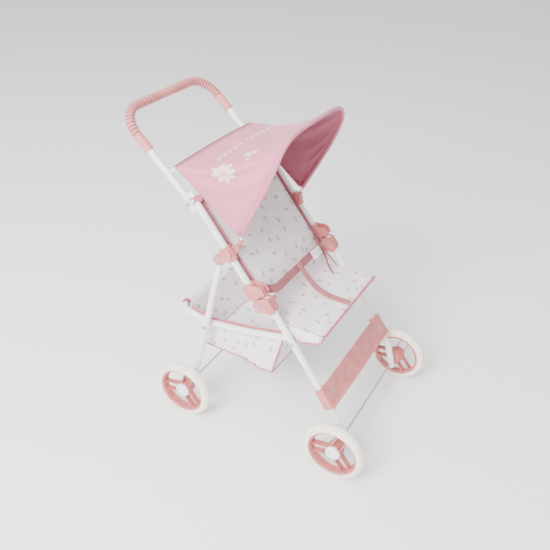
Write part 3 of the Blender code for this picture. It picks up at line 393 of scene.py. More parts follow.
def leaf(tree, place, centre, size, turn):
    """Mask of one ellipse, for printed leaves and petals; all sizes in millimetres."""
    local = add(tree, "ShaderNodeMapping", {"Vector": place, "Location": (*centre, 0),
                                            "Rotation": (0, 0, turn), "Scale": (*size, 1)},
                vector_type="TEXTURE").outputs[0]
    flat = add(tree, "ShaderNodeVectorMath", {0: local, 1: (1, 1, 0)}, operation="MULTIPLY")
    reach = add(tree, "ShaderNodeVectorMath", {0: flat.outputs[0]}, operation="LENGTH")
    return ranged(tree, reach.outputs["Value"], 0.85, 1.1, 1, 0)


def any_of(tree, masks):
    result = masks[0]
    for mask in masks[1:]:
        result = sums(tree, "MAXIMUM", result, mask)
    return result


SPRIG_APART, SPRIG_SIZE = 25.0, 1.55        # mm between sprigs, and their size
# each part of a sprig: centre, half sizes and turn
SPRIG = (((0, -0.4), (0.24, 2.6), 0.0), ((0.9, 0.7), (1.15, 0.5), 0.7), ((-0.95, -0.2), (1.15, 0.5), -0.7),
         ((0.85, -1.5), (0.95, 0.42), 0.7), ((0, 2.3), (0.95, 0.95), 0.0), ((1.1, 2.9), (0.6, 0.6), 0.0),
         ((-1.0, 2.0), (0.7, 0.45), -0.8))


def printed_cotton(name):
    """White cotton poplin, screen-printed with small scattered sprigs; soft and matte."""
    made, tree, shader = blank(name, 0.85, Sheen_Weight=0.25, Sheen_Roughness=0.4)
    place = cloth_mm(tree)
    spots = add(tree, "ShaderNodeTexVoronoi", {"Vector": place, "Scale": 1 / SPRIG_APART, "Randomness": 0.75},
                voronoi_dimensions="2D")
    local = add(tree, "ShaderNodeVectorMath", {0: place, 1: spots.outputs["Position"]},
                operation="SUBTRACT").outputs[0]
    chance = add(tree, "ShaderNodeSeparateColor", {0: spots.outputs["Color"]})
    turned = add(tree, "ShaderNodeVectorRotate", {"Vector": local, "Angle": sums(
        tree, "MULTIPLY", chance.outputs[0], 2 * pi)}, rotation_type="Z_AXIS").outputs[0]
    turned = add(tree, "ShaderNodeVectorMath", {0: turned, "Scale": 1 / SPRIG_SIZE}, operation="SCALE").outputs[0]
    sprig = any_of(tree, [leaf(tree, turned, *part) for part in SPRIG])
    ink = mixed(tree, ranged(tree, chance.outputs[1], 0.45, 0.55, 0, 1), linear("#77718A"),
                linear("#B0697C"))
    ink = mixed(tree, ranged(tree, chance.outputs[2], 0.75, 0.8, 0, 1), ink, linear("#76918A"))
    shade = speckle(tree, place, 30, 3)
    ground = mixed(tree, ranged(tree, shade, 0.35, 0.7, 0, 1), linear("#F3ECEE"), linear("#E9DFE3"))
    colour = mixed(tree, sums(tree, "MULTIPLY", sprig, 0.85), ground, ink)
    tree.links.new(colour, shader.inputs["Base Color"])
    threads = weave(tree, place, 0.55)      # drawn coarser than poplin's 0.25 mm, to show
    bump(tree, shader, threads, 0.12, 0.35)
    return made


# the print: kind, centre and size in mm on the flat cloth, turn; both halves of the canopy carry it
BLOSSOMS = []
for half in (-1, 1):
    BLOSSOMS += [("blossom", (half * 108, -8), 21, 0.2 * half), ("blossom", (half * 66, 17), 12, 0.5),
                 ("leaf", (half * 84, 22), 6, 0.4 * half)]
    for step in range(5):
        spot = half * (70 - 14 * step)
        BLOSSOMS += [("leaf", (spot, -33 - step), 6.5, half * 0.5),
                     ("leaf", (spot - 5 * half, -38 - step), 6.0, half * -0.6)]


def canopy_cloth(name, code, deep, blossoms):
    """Brushed polyester plain weave, dusty pink, printed with pale blossoms and leaf sprays."""
    made, tree, shader = blank(name, 0.8, Sheen_Weight=0.35, Sheen_Roughness=0.35)
    place = cloth_mm(tree)
    cloudy = speckle(tree, place, 45, 4)
    threads = weave(tree, place, 0.7)       # drawn coarser than the real 0.3 mm, to show
    base = mixed(tree, ranged(tree, cloudy, 0.3, 0.7, 0, 1), linear(code), linear(deep))
    base = mixed(tree, ranged(tree, threads, 0.0, 1.0, 0.0, 0.14), base, linear("#E3A6B4"))
    seam = add(tree, "ShaderNodeAttribute", attribute_name="hem").outputs["Fac"]
    base = mixed(tree, seam, base, linear("#A8566A"))
    masks, hearts = [], []
    for kind, centre, size, turn in blossoms:
        if kind == "blossom":
            for i in range(8):
                angle = turn + i * pi / 4
                spot = (centre[0] + cos(angle) * size * 0.62, centre[1] + sin(angle) * size * 0.62)
                masks.append(leaf(tree, place, spot, (size * 0.38, size * 0.21), angle))
            hearts.append(leaf(tree, place, centre, (size * 0.2, size * 0.2), 0))
        else:
            masks.append(leaf(tree, place, centre, (size, size * 0.3), turn))
    if masks:
        pale = sums(tree, "MULTIPLY", any_of(tree, masks), 0.78)
        base = mixed(tree, pale, base, linear("#F6DED6"))
        base = mixed(tree, sums(tree, "MULTIPLY", any_of(tree, hearts), 0.8), base, linear("#EBC3A8"))
    tree.links.new(base, shader.inputs["Base Color"])
    bump(tree, shader, threads, 0.15, 0.4)
    return made


def webbing(name, code, deep, pitch=1.3):
    """Flat polyester webbing and bias binding: ribbed across, with a soft sheen."""
    made, tree, shader = blank(name, 0.7, Sheen_Weight=0.3, Sheen_Roughness=0.35)
    place = object_mm(tree)
    threads = add(tree, "ShaderNodeTexWave", {"Vector": place, "Scale": 1 / (pitch * 6.283),
                                              "Distortion": 0.6, "Detail": 1.0},
                  bands_direction="DIAGONAL").outputs["Fac"]
    fade = speckle(tree, place, 11, 3)
    base = mixed(tree, ranged(tree, fade, 0.3, 0.7, 0, 1), linear(code), linear(deep))
    base = mixed(tree, ranged(tree, threads, 0, 1, 0, 0.2), base, linear("#CF8A90"))
    tree.links.new(base, shader.inputs["Base Color"])
    bump(tree, shader, threads, 0.12, 0.4)
    return made


def pearl_plastic(name, code):
    """Glossy ABS cap and buckle: bright, faintly pearly, with a clear skin."""
    made, tree, shader = blank(name, 0.26, ior=1.53, Coat_Weight=0.4, Coat_Roughness=0.12,
                               Subsurface_Weight=0.05, Subsurface_Scale=0.002)
    place = object_mm(tree)
    swirl = speckle(tree, place, 6, 3)
    tree.links.new(mixed(tree, ranged(tree, swirl, 0.35, 0.65, 0, 1), linear(code),
                         linear("#E2E3EC")), shader.inputs["Base Color"])
    bump(tree, shader, speckle(tree, place, 0.8), 0.01, 0.3)
    return made


WHITE = powder_coat("white_powder_coat", "#F4F4F1")
PINK = moulded_plastic("pink_polypropylene", "#CF7F7B", "#C4726F")
PINK_DARK = moulded_plastic("pink_wheel_moulding", "#C77672", "#B96865", 0.38)
# the second colour is painted shade, laid into the grooves between the ribs
GRIP = soft_grip("pink_rubber_grip", "#CE7E7C", "#7E3A41")
TYRE = foam_tyre("cream_foam", "#F6EFE0")
CAP = pearl_plastic("pearl_white_cap", "#F2F2F7")
BUCKLE = pearl_plastic("pale_buckle_plastic", "#EFEDED")
WIRE = bright_wire("zinc_wire", "#D7D7D8", 0.28)
STEEL = bright_wire("steel_rivet", "#BDBDBF", 0.34)
COTTON = printed_cotton("sprigged_cotton")
BINDING = webbing("pink_bias_binding", "#C4707B", "#B25E6A")
# painted shade: the lap belt's webbing is darkened to its colour in shade; the next line is the same webbing as lit
SHADED_STRAP = webbing("pink_webbing", "#A35C61", "#924D53", 1.1)
LIT_STRAP = webbing("pink_webbing_as_lit", "#C07072", "#B06265", 1.1)
# painted shade: the pink bias binding darkened to the colour it shows in shade
SHADED_BINDING = webbing("binding_painted_shade", "#97535C", "#86444E")

SLOT_OF = {WHITE: "white_paint", PINK: "pink_plastic", PINK_DARK: "pink_plastic", GRIP: "pink_grip",
           TYRE: "cream_tyre", CAP: "cap_white", BUCKLE: "buckle_white", WIRE: "steel_wire",
           STEEL: "rivet_steel", COTTON: "print_cloth", BINDING: "pink_webbing",
           SHADED_STRAP: "pink_webbing", LIT_STRAP: "pink_webbing", SHADED_BINDING: "pink_webbing"}


# ------------------------------------------------------------------ mesh tools
def piece(name, mesh, mat, body=None, stands_for=(), smooth=50):
    obj = bpy.data.objects.new(name, mesh)
    bpy.context.scene.collection.objects.link(obj)
    if mat:
        mesh.materials.clear()
        mesh.materials.append(mat)
        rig.slot(obj, SLOT_OF.get(mat, "pink_cloth"))
    mesh.shade_smooth()
    if smooth < 180:
        mesh.set_sharp_from_angle(angle=radians(smooth))
    if stands_for:
        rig.replaces(obj, *stands_for)
    if body:
        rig.ride(obj, body)
    return obj


def mesh_of(name, bm):
    bmesh.ops.recalc_face_normals(bm, faces=bm.faces)
    mesh = bpy.data.meshes.new(name)
    bm.to_mesh(mesh)
    bm.free()
    return mesh


def arc_lengths(points):
    total = [0.0]
    for a, b in zip(points, points[1:]):
        total.append(total[-1] + (b - a).length)
    return total


def resampled(points, step):
    """Points an even step apart along a line of points."""
    lengths = arc_lengths(points)
    count = max(2, int(round(lengths[-1] / step)) + 1)
    out, i = [], 0
    for k in range(count):
        target = lengths[-1] * k / (count - 1)
        while i < len(points) - 2 and lengths[i + 1] < target:
            i += 1
        span = max(lengths[i + 1] - lengths[i], 1e-9)
        out.append(points[i].lerp(points[i + 1], min(1, (target - lengths[i]) / span)))
    return out


def through(points, per_span=6):
    """One smooth curve through the given points (Catmull-Rom)."""
    pts = [2 * points[0] - points[1]] + list(points) + [2 * points[-1] - points[-2]]
    out = []
    for p0, p1, p2, p3 in zip(pts, pts[1:], pts[2:], pts[3:]):
        for i in range(per_span):
            t = i / per_span
            out.append(0.5 * (2 * p1 + (p2 - p0) * t + (2 * p0 - 5 * p1 + 4 * p2 - p3) * t * t
                              + (3 * p1 - p0 - 3 * p2 + p3) * t ** 3))
    return out + [points[-1].copy()]


def rounded(points, radius, steps=10):
    """A bent tube's centreline: straight runs joined by arcs."""
    out = [points[0].copy()]
    for before, corner, after in zip(points, points[1:], points[2:]):
        a, b = (before - corner).normalized(), (after - corner).normalized()
        half = a.angle(b) / 2
        centre = corner + (a + b).normalized() * (radius / sin(half))
        start = corner + a * (radius * cos(half) / sin(half)) - centre
        end = corner + b * (radius * cos(half) / sin(half)) - centre
        turn = start.angle(end)
        for i in range(steps + 1):
            share = i / steps
            out.append(centre + (start * sin((1 - share) * turn) + end * sin(share * turn)) / sin(turn))
    out.append(points[-1].copy())
    return out


def swept(name, path, shape, mat, body=None, stands_for=(), sides=28, flat=None, round_ends=0.35,
          groove_shade=None, smooth=60, closed=False):
    """Sweep an ellipse along a path.  shape is a radius, a pair, or a function of the length along
    the path; flat is the direction of the ellipse's second radius."""
    lengths = arc_lengths(path)
    rings = []
    side = flat.normalized() if flat is not None else None
    bm = bmesh.new()
    layer = bm.verts.layers.float.new("groove_shade") if groove_shade else None
    for i, point in enumerate(path):
        before, after = path[max(i - 1, 0)], path[min(i + 1, len(path) - 1)]
        if closed:
            before, after = path[i - 1], path[(i + 1) % len(path)]
        run = (after - before).normalized()
        if side is None:
            side = run.orthogonal().normalized()
        across = (side - run * side.dot(run)).normalized()
        side = across if flat is None else side
        up = run.cross(across)
        size = shape(lengths[i]) if callable(shape) else shape
        ra, rb = size if isinstance(size, tuple) else (size, size)
        ends = [(0.0, 1.0)]
        if not closed and round_ends and i in (0, len(path) - 1):
            cap = min(ra, rb) * round_ends
            ends = [(0.0, 1.0)] + [(cap * sin(t * pi / 8), 1 - cap / max(ra, rb) * (1 - cos(t * pi / 8)))
                                   for t in (1, 2, 3, 4)]
            if i == 0:
                ends = [(-shift, scale) for shift, scale in ends[::-1]]
        for shift, scale in ends:
            ring = []
            for k in range(sides):
                angle = 2 * pi * k / sides
                vert = bm.verts.new(point + run * shift + up * cos(angle) * ra * scale
                                    + across * sin(angle) * rb * scale)
                if layer is not None:
                    # per-point weight of painted shade, where one is given
                    vert[layer] = groove_shade(lengths[i])
                ring.append(vert)
            rings.append(ring)
    pairs = list(zip(rings, rings[1:])) + ([(rings[-1], rings[0])] if closed else [])
    for a, b in pairs:
        for k in range(sides):
            bm.faces.new([a[k], a[(k + 1) % sides], b[(k + 1) % sides], b[k]])
    if not closed:
        bm.faces.new(rings[0][::-1])
        bm.faces.new(rings[-1])
    return piece(name, mesh_of(name, bm), mat, body, stands_for, smooth)


def turned(name, profile, centre, side, mat, body, stands_for=(), steps=72, smooth=35, loop=True):
    """A turned piece on an X axle; profile is (radius, distance from the middle plane)."""
    bm = bmesh.new()
    rings = []
    for radius, height in profile:
        if radius < 1e-6:
            rings.append([bm.verts.new((side * height, centre.y, centre.z))])
            continue
        rings.append([bm.verts.new((side * height, centre.y + radius * cos(2 * pi * k / steps),
                                    centre.z + radius * sin(2 * pi * k / steps)))
                      for k in range(steps)])
    pairs = list(zip(rings, rings[1:])) + ([(rings[-1], rings[0])] if loop else [])
    for a, b in pairs:
        for k in range(steps):
            j = (k + 1) % steps
            if len(a) == 1 and len(b) > 1:
                bm.faces.new([a[0], b[j], b[k]])
            elif len(b) == 1 and len(a) > 1:
                bm.faces.new([a[k], a[j], b[0]])
            elif len(a) > 1:
                bm.faces.new([a[k], a[j], b[j], b[k]])
    return piece(name, mesh_of(name, bm), mat, body, stands_for, smooth)


def softened(node, mat, voxel, rounds=4):
    """A moulding from its CAD solid: remeshed finely and its edges eased."""
    source = nodes[node]
    mesh = source.data.copy()
    bm = bmesh.new()
    bm.from_mesh(mesh)
    bmesh.ops.remove_doubles(bm, verts=bm.verts, dist=0.000005)
    bm.to_mesh(mesh)
    bm.free()
    obj = bpy.data.objects.new(node + "_moulding", mesh)
    bpy.context.scene.collection.objects.link(obj)
    step = obj.modifiers.new("remesh", "REMESH")
    step.mode = "VOXEL"
    step.voxel_size = voxel
    ease = obj.modifiers.new("ease", "SMOOTH")
    ease.factor = 0.5
    ease.iterations = rounds
    bpy.context.view_layer.update()
    final = bpy.data.meshes.new_from_object(obj.evaluated_get(bpy.context.evaluated_depsgraph_get()))
    bpy.data.objects.remove(obj)
    return piece(node + "_moulding", final, mat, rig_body(node), (node,), 180)


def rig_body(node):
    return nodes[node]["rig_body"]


def flat_map(obj, place):
    """Store the cloth's flat coordinates, in metres, as a UV map; place gives (u, v) of a point."""
    mesh = obj.data
    layer = mesh.uv_layers.get("cloth") or mesh.uv_layers.new(name="cloth")
    for loop in mesh.loops:
        layer.data[loop.index].uv = place(mesh.vertices[loop.vertex_index].co)


def grid_mesh(name, rows, uv=None):
    """A sheet from rows of points, with its flat coordinates in a UV map."""
    bm = bmesh.new()
    layer = bm.loops.layers.uv.new("cloth")
    grid = [[bm.verts.new(p) for p in row] for row in rows]
    for i in range(len(grid) - 1):
        for j in range(len(grid[0]) - 1):
            face = bm.faces.new([grid[i][j], grid[i][j + 1], grid[i + 1][j + 1], grid[i + 1][j]])
            if uv:
                for loop, (a, b) in zip(face.loops, ((i, j), (i, j + 1), (i + 1, j + 1), (i + 1, j))):
                    loop[layer].uv = uv[a][b]
    mesh = bpy.data.meshes.new(name)
    bm.to_mesh(mesh)
    bm.free()
    return mesh


def simulate(mesh, pinned, frames, pressure=0.0, gravity=0.0, cap=0.01, shrink=0.0, stiffness=15):
    """Run Blender's cloth on a mesh with some points held, and keep the result within cap."""
    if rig.quick():
        return mesh
    obj = bpy.data.objects.new("cloth_run", mesh)
    bpy.context.scene.collection.objects.link(obj)
    start = [v.co.copy() for v in mesh.vertices]
    group = obj.vertex_groups.new(name="held")
    if pinned:
        group.add(pinned, 1.0, "REPLACE")
    run = obj.modifiers.new("cloth", "CLOTH")
    run.settings.quality = 6
    run.settings.mass = 0.15
    run.settings.tension_stiffness = stiffness
    run.settings.compression_stiffness = stiffness
    run.settings.shear_stiffness = 5
    run.settings.bending_stiffness = 0.4
    run.settings.vertex_group_mass = "held"
    run.settings.shrink_min = shrink
    run.settings.effector_weights.gravity = gravity
    if pressure:
        run.settings.use_pressure = True
        run.settings.uniform_pressure_force = pressure
    scene = bpy.context.scene
    first = scene.frame_current
    run.point_cache.frame_start = 1
    run.point_cache.frame_end = frames
    for f in range(1, frames + 1):
        scene.frame_set(f)
    bpy.context.view_layer.update()
    result = bpy.data.meshes.new_from_object(obj.evaluated_get(bpy.context.evaluated_depsgraph_get()))
    bpy.data.objects.remove(obj)
    scene.frame_set(first)
    for v, old in zip(result.vertices, start):
        move = v.co - old
        if move.length > cap:
            v.co = old + move.normalized() * cap
    return result


# ------------------------------------------------------------------ camera, floor and light
def camera():
    lens = bpy.data.cameras.new("view")
    lens.sensor_width = 36
    lens.lens = 36 * 697.5 / 550
    lens.shift_x = -(279.7 - 275) / 550
    lens.shift_y = (271.2 - 275) / 550
    eye = bpy.data.objects.new("view", lens)
    bpy.context.scene.collection.objects.link(eye)
    right = Vector((0.47654, -0.87829, 0.03888))
    down = Vector((-0.45330, -0.28336, -0.84512))
    ahead = Vector((0.75328, 0.38511, -0.53316))
    turn = Matrix((right, -down, -ahead)).transposed().to_4x4()
    eye.matrix_world = Matrix.Translation((-0.8022, -0.4074, 0.7949)) @ turn
    bpy.context.scene.camera = eye


def soft_light(name, place, aim, size, power, colour=(1, 1, 1)):
    data = bpy.data.lights.new(name, "AREA")
    data.shape = "DISK"
    data.size = size
    data.energy = power
    data.color = colour
    lamp = bpy.data.objects.new(name, data)
    lamp.location = place
    lamp.rotation_mode = "QUATERNION"
    lamp.rotation_quaternion = (Vector(aim) - Vector(place)).to_track_quat("-Z", "Y")
    bpy.context.scene.collection.objects.link(lamp)


def studio():
    world = bpy.context.scene.world or bpy.data.worlds.new("studio")
    bpy.context.scene.world = world
    world.use_nodes = True
    sky = world.node_tree.nodes["Background"]
    sky.inputs[0].default_value = linear("#FCFCFC")
    sky.inputs[1].default_value = 1.1
    aim = (0, 0, 0.22)
    soft_light("key", (-1.7, 0.1, 1.5), aim, 1.1, 105)
    soft_light("top", (-0.3, 0.5, 2.2), aim, 1.6, 30)
    soft_light("fill", (0.4, -1.9, 0.9), aim, 1.6, 3)
    bm = bmesh.new()
    bmesh.ops.create_circle(bm, cap_ends=True, segments=64, radius=6)
    floor = bpy.data.objects.new("floor", mesh_of("floor", bm))
    bpy.context.scene.collection.objects.link(floor)
    paper, tree, shader = blank("pale_paper", 0.9)
    fibre = speckle(tree, object_mm(tree), 60, 3)
    tree.links.new(mixed(tree, fibre, linear("#FBFBFB"), linear("#F7F7F7")), shader.inputs["Base Color"])
    floor.data.materials.append(paper)
    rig.stage(floor)


# ------------------------------------------------------------------ frame tubes and wires
LAP_STEP = 10.3 * MM           # the push bar runs this far behind the back tubes


def frame_tubes():
    for side_name, side in SIDES.items():
        x = side * TUBE_X
        leg_knee = KNEE + OUT_LEG * LEG_AHEAD
        bend = leg_knee - UP_LEG * 205 * MM
        foot = FRONT_AXLE + (FRONT_AXLE - bend).normalized() * 7 * MM
        path = rounded([at_x(x, leg_knee + UP_LEG * 21.5 * MM), at_x(x, bend), at_x(x, foot)], 45 * MM, 14)
        swept(f"leg_front_{side_name}", path, TUBE_R, WHITE, "front_frame", (f"front_leg_{side_name}",))
        path = [at_x(x, leg_knee + UP_LEG * s * MM) for s in (8, 14, 21)]
        swept(f"leg_cap_{side_name}", path, 5.35 * MM, PINK, "front_frame", (), 28, round_ends=0.45)
        path = [at_x(x, KNEE - UP_BACK * 4.5 * MM), at_x(x, KNEE + UP_BACK * 90 * MM),
                at_x(x, KNEE + UP_BACK * 181 * MM)]
        swept(f"tube_back_{side_name}", path, TUBE_R, WHITE, "back_frame", (f"back_tube_{side_name}",))
        up = (HIP - REAR_AXLE).normalized()
        path = [at_x(x, HIP + up * 5.5 * MM), at_x(x, (HIP + REAR_AXLE) / 2), at_x(x, REAR_AXLE - up * 6 * MM)]
        swept(f"leg_rear_{side_name}", path, TUBE_R, WHITE, "rear_frame", (f"rear_leg_{side_name}",))
    bend = KNEE + UP_BACK * 186 * MM - OUT_BACK * LAP_STEP
    foot = KNEE + UP_BACK * 156.5 * MM - OUT_BACK * LAP_STEP
    top = bend + UP_HANDLE * 137 * MM
    right = [at_x(-TUBE_X, p) for p in (foot, bend, top)]
    left = [at_x(TUBE_X, p) for p in (top, bend, foot)]
    path = rounded(right + left, 38 * MM, 20)
    swept("push_bar", path, TUBE_R, WHITE, "back_frame", ("handle_tube",))
    grip(top)
    basket_rail()
    wires()
    return bend


GRIP_R = 6.6 * MM
RIB_PITCH = 5.2 * MM


def grip(top):
    """Rubber sleeve over the push bar: smooth ends and middle, ribbed round both corners."""
    low = top - UP_HANDLE * 62.5 * MM
    path = rounded([at_x(-TUBE_X, low), at_x(-TUBE_X, top), at_x(TUBE_X, top), at_x(TUBE_X, low)],
                   38 * MM, 40)
    path = resampled(path, 0.42 * MM)
    total = arc_lengths(path)[-1]

    def ribbing(s):
        """1 in the ribbed stretches, 0 in the smooth ends and middle."""
        from_end = min(s, total - s)
        start = min(1, max(0, (from_end - 22 * MM) / (2 * MM)))
        stop = min(1, max(0, ((total / 2 - from_end) - 16 * MM) / (2 * MM)))
        return start * stop

    # weight of the painted shade in each groove between the ribs
    def groove_shade(s):
        wave = 0.5 - 0.5 * cos(2 * pi * min(s, total - s) / RIB_PITCH)
        return ribbing(s) * (1 - wave) ** 3

    def radius(s):
        lip = 0.5 * MM if min(s, total - s) < 2.5 * MM else 0
        wave = 0.5 - 0.5 * cos(2 * pi * min(s, total - s) / RIB_PITCH)
        return GRIP_R + lip + ribbing(s) * (wave ** 0.6 * 1.0 - 0.75) * MM
    swept("grip_sleeve", path, radius, GRIP, "back_frame", ("handle_grip",), 32, groove_shade=groove_shade)


BASKET_HALF = 89 * MM
BASKET_REACH = Vector((0, 52 * MM, 9 * MM))    # from the stays' rivets back to the crossbar


def basket_rail():
    """White U tube that pivots on the front legs and carries the basket."""
    half = BASKET_HALF
    stay = pivot_stay()
    mid = (BRACE + stay) / 2 - Vector((0, 0, 3 * MM))
    rear = stay + BASKET_REACH
    start = BRACE + (BRACE - mid).normalized() * 5.5 * MM
    side = through([start, mid, stay], 14)[:-1]
    right = [at_x(-half, p) for p in side]
    left = [at_x(half, p) for p in side[::-1]]
    corners = rounded([at_x(-half, stay), at_x(-half, rear), at_x(half, rear), at_x(half, stay)],
                      14 * MM, 12)
    swept("basket_rail", right + corners + left, TUBE_R, WHITE, "basket_frame", ("basket_frame",))


def pivot_stay():
    return at_x(0, middle("stay_rivet_left"))


def wires():
    for tag, centre, body in (("front", FRONT_AXLE, "front_frame"), ("rear", REAR_AXLE, "rear_frame")):
        end = 134.5 * MM
        swept(f"axle_{tag}", [at_x(-end, centre), at_x(0, centre), at_x(end, centre)], 1.5 * MM, WIRE,
              body, (f"{tag}_axle",), 16)
    low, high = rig.box("seat_bow")
    z = (low.z + high.z) / 2
    inner, front, back = 90 * MM, low.y + 2 * MM, high.y - 2 * MM
    path = rounded([Vector((-99 * MM, back, z)), Vector((-inner, back, z)), Vector((-inner, front, z)),
                    Vector((inner, front, z)), Vector((inner, back, z)), Vector((99 * MM, back, z))],
                   5.5 * MM, 8)
    swept("bow_wire", path, 2 * MM, WIRE, "front_frame", ("seat_bow",), 16)


# ------------------------------------------------------------------ canopy
HOOP_SHAPE = ((0.00, 0.00, None), (0.11, 0.09, 0.905), (0.24, 0.25, 0.955), (0.40, 0.46, 0.985),
              (0.56, 0.67, 1.00), (0.72, 0.85, 1.00), (0.84, 0.95, 0.97), (0.93, 0.99, 0.87),
              (0.985, 1.00, 0.66), (1.00, 1.00, 0.33))
HOOP_HALF, HOOP_WIDE, HOOP_HEIGHT, HOOP_LEAN = 88.5 * MM, 101 * MM, 167 * MM, 62 * MM
HEM_START = 8                         # the canopy starts at this point of the hoop's line
SIDE_SHARE = 0.3


def hoop_line(per_span=8):
    right = []
    for up, lean, wide in HOOP_SHAPE:
        x = HOOP_HALF if wide is None else HOOP_WIDE * wide
        right.append(Vector((-x, HOOP.y - HOOP_LEAN * lean, HOOP.z + HOOP_HEIGHT * up)))
    left = [Vector((-p.x, p.y, p.z)) for p in right[::-1]]
    top = Vector((0, right[-1].y, right[-1].z))
    return through(right + [top] + left, per_span)


def bar_line(bend, corner=6 * MM):
    """The arched bar between its corners, from right to left, and its foot in the push bar."""
    foot = bend + UP_HANDLE * 32 * MM
    half = TUBE_X - corner
    arch = []
    for i in range(37):
        rise = 16 * MM + 11 * MM * sin(pi * i / 36) ** 0.8
        arch.append(at_x(half * (i / 18 - 1), foot + OUT_HANDLE * rise))
    return foot, arch


def walk(points, share):
    """The place at this share of a line's length."""
    lengths = arc_lengths(points)
    target = share * lengths[-1]
    for i in range(len(points) - 1):
        if target <= lengths[i + 1] + 1e-9:
            return points[i].lerp(points[i + 1], (target - lengths[i]) / max(lengths[i + 1] - lengths[i], 1e-9))
    return points[-1].copy()


UNDER_CANOPY = Vector((0, 0.03, 0.36))      # a place beneath the canopy, to tell its underside, painted in shade, from its outside


def canopy(bend):
    foot, arch = bar_line(bend)
    hoop = hoop_line()
    line = [hoop[0] + (hoop[1] - hoop[0]).normalized() * 5.5 * MM] + hoop[1:-1] \
        + [hoop[-1] + (hoop[-2] - hoop[-1]).normalized() * 5.5 * MM]
    swept("hoop_wire", resampled(line, 3 * MM), 1.7 * MM, WHITE, "canopy_hoop", ("canopy_hoop",), 16)
    lifted, corner = foot + OUT_HANDLE * 1.5 * MM, foot + OUT_HANDLE * 16 * MM
    right = rounded([at_x(-TUBE_X, lifted), at_x(-TUBE_X, corner), arch[3]], 5 * MM, 8)[:-1]
    left = [Vector((-p.x, p.y, p.z)) for p in right[::-1]]
    swept("bar_wire", right + arch[3:-3] + left, 1.7 * MM, WHITE, "back_frame", ("canopy_bar",), 16)

    front = hoop[HEM_START:-HEM_START]
    front = resampled(front, arc_lengths(front)[-1] / 104)
    lift = OUT_HANDLE * 2.2 * MM
    bar = [p + lift for p in bar_line(bend, 0.5 * MM)[1]]
    low = front[0] + Vector((0.5 * MM, 7 * MM, 1 * MM))
    mid = (low + bar[0]) / 2 + Vector((2.5 * MM, 1 * MM, -3 * MM))
    side_line = through([low, mid, bar[0]], 12)
    mirror = [Vector((-p.x, p.y, p.z)) for p in side_line[::-1]]
    across = arc_lengths(front)[-1]
    shares = [s / across for s in arc_lengths(front)]
    rear = []
    for share in shares:
        if share < SIDE_SHARE:
            rear.append(walk(side_line, share / SIDE_SHARE))
        elif share > 1 - SIDE_SHARE:
            rear.append(walk(mirror, (share - 1 + SIDE_SHARE) / SIDE_SHARE))
        else:
            rear.append(walk(bar, (share - SIDE_SHARE) / (1 - 2 * SIDE_SHARE)))
    rows, uv, count = [], [], 44
    for i in range(count + 1):
        v = i / count
        row, flat = [], []
        for share, a, b in zip(shares, rear, front):
            p = a.lerp(b, v)
            side_on = abs(share - 0.5)
            sign = -1 if share < 0.5 else 1
            crown = max(0.0, 1 - side_on * 3.0)
            p.z -= 7 * MM * sin(pi * v) * min(1, crown * 1.5)          # the sheet sags between its wires
            hollow = min(1.0, max(0.0, (side_on - 0.18) / 0.14)) * min(1.0, (0.5 - side_on) / 0.12)
            p.x -= sign * 6 * MM * sin(pi * v) * hollow
            # a soft ridge where the top turns down into each side, from the bar's corner forwards
            ridge = side_on - (0.5 - SIDE_SHARE) - 0.10 * v
            p += Vector((sign * 0.8, 0, 0.6)) * 3.0 * MM * max(0, 1 - abs(ridge) / 0.03) * (1 - v) ** 0.8 \
                * sin(pi * min(1, v * 3 + 0.1) / 2)
            # folds fan out from the gathered lower corner
            gather = max(0.0, (side_on - 0.36) / 0.14)
            p.x += sign * 1.5 * MM * gather * sin(v * 7 * pi + side_on * 30) * sin(pi * v)
            row.append(p)
            flat.append(((share - 0.5) * across, (v - 0.5) * 0.165))
        rows.append(row)
        uv.append(flat)
    mesh = grid_mesh("canopy_sheet", rows, uv)
    n = len(shares)
    held = [j for j in range(n)] + [count * n + j for j in range(n)]
    held += [i * n + j for i in range(count + 1) for j in (0, 1, n - 2, n - 1) if i % 11 == 0]
    mesh = simulate(mesh, held, 22, gravity=0.5, cap=5 * MM, stiffness=12, shrink=-0.012)
    # hem attribute: stitched lines behind the front hem and in front of the bar
    layer = mesh.attributes.new("hem", "FLOAT", "POINT")
    widths = [0.0] * len(mesh.vertices)
    for i in range(count + 1):
        for j in range(n):
            gap = (rows[count][j] - rows[i][j]).length
            rear_gap = (rows[0][j] - rows[i][j]).length
            line = max(0, 1 - abs(gap - 9 * MM) / (1.4 * MM))
            band = 0.25 if gap < 9 * MM else 0
            rear_band = 0.75 * max(0, min(1, (6.5 * MM - rear_gap) / (1.5 * MM)))
            if SIDE_SHARE < shares[j] < 1 - SIDE_SHARE:
                band = max(band, rear_band)
            widths[i * n + j] = min(1, max(line * 0.5, band))
    layer.data.foreach_set("value", widths)
    sheet = piece("canopy_sheet", mesh, CANOPY, None, ("canopy",), 180)
    mesh.materials.append(SHADED_LINING)
    step = sheet.modifiers.new("thickness", "SOLIDIFY")
    step.thickness = 0.8 * MM
    step.offset = 0
    apply_modifiers(sheet)
    # faces towards the underside take the canopy pink darkened as painted shade
    for face in sheet.data.polygons:
        face.material_index = 0 if face.normal.dot(face.center - UNDER_CANOPY) > 0 else 1
    area = cloth_area(sheet.data) / 2
    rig.blend(sheet, "back_frame", "canopy_hoop", bar[18], hoop[len(hoop) // 2])
    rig.sheet(sheet, flat=(round(across, 3), 0.18), area=round(area, 5), held="stretched",
             rests_on=["canopy_hoop", "canopy_bar"])
    hem = swept("canopy_front_hem", resampled(front, 3 * MM), (2.6 * MM, 2.3 * MM), HEM_CLOTH,
                "canopy_hoop", (), 14)
    flat_map(hem, lambda co: (co.x, co.z))
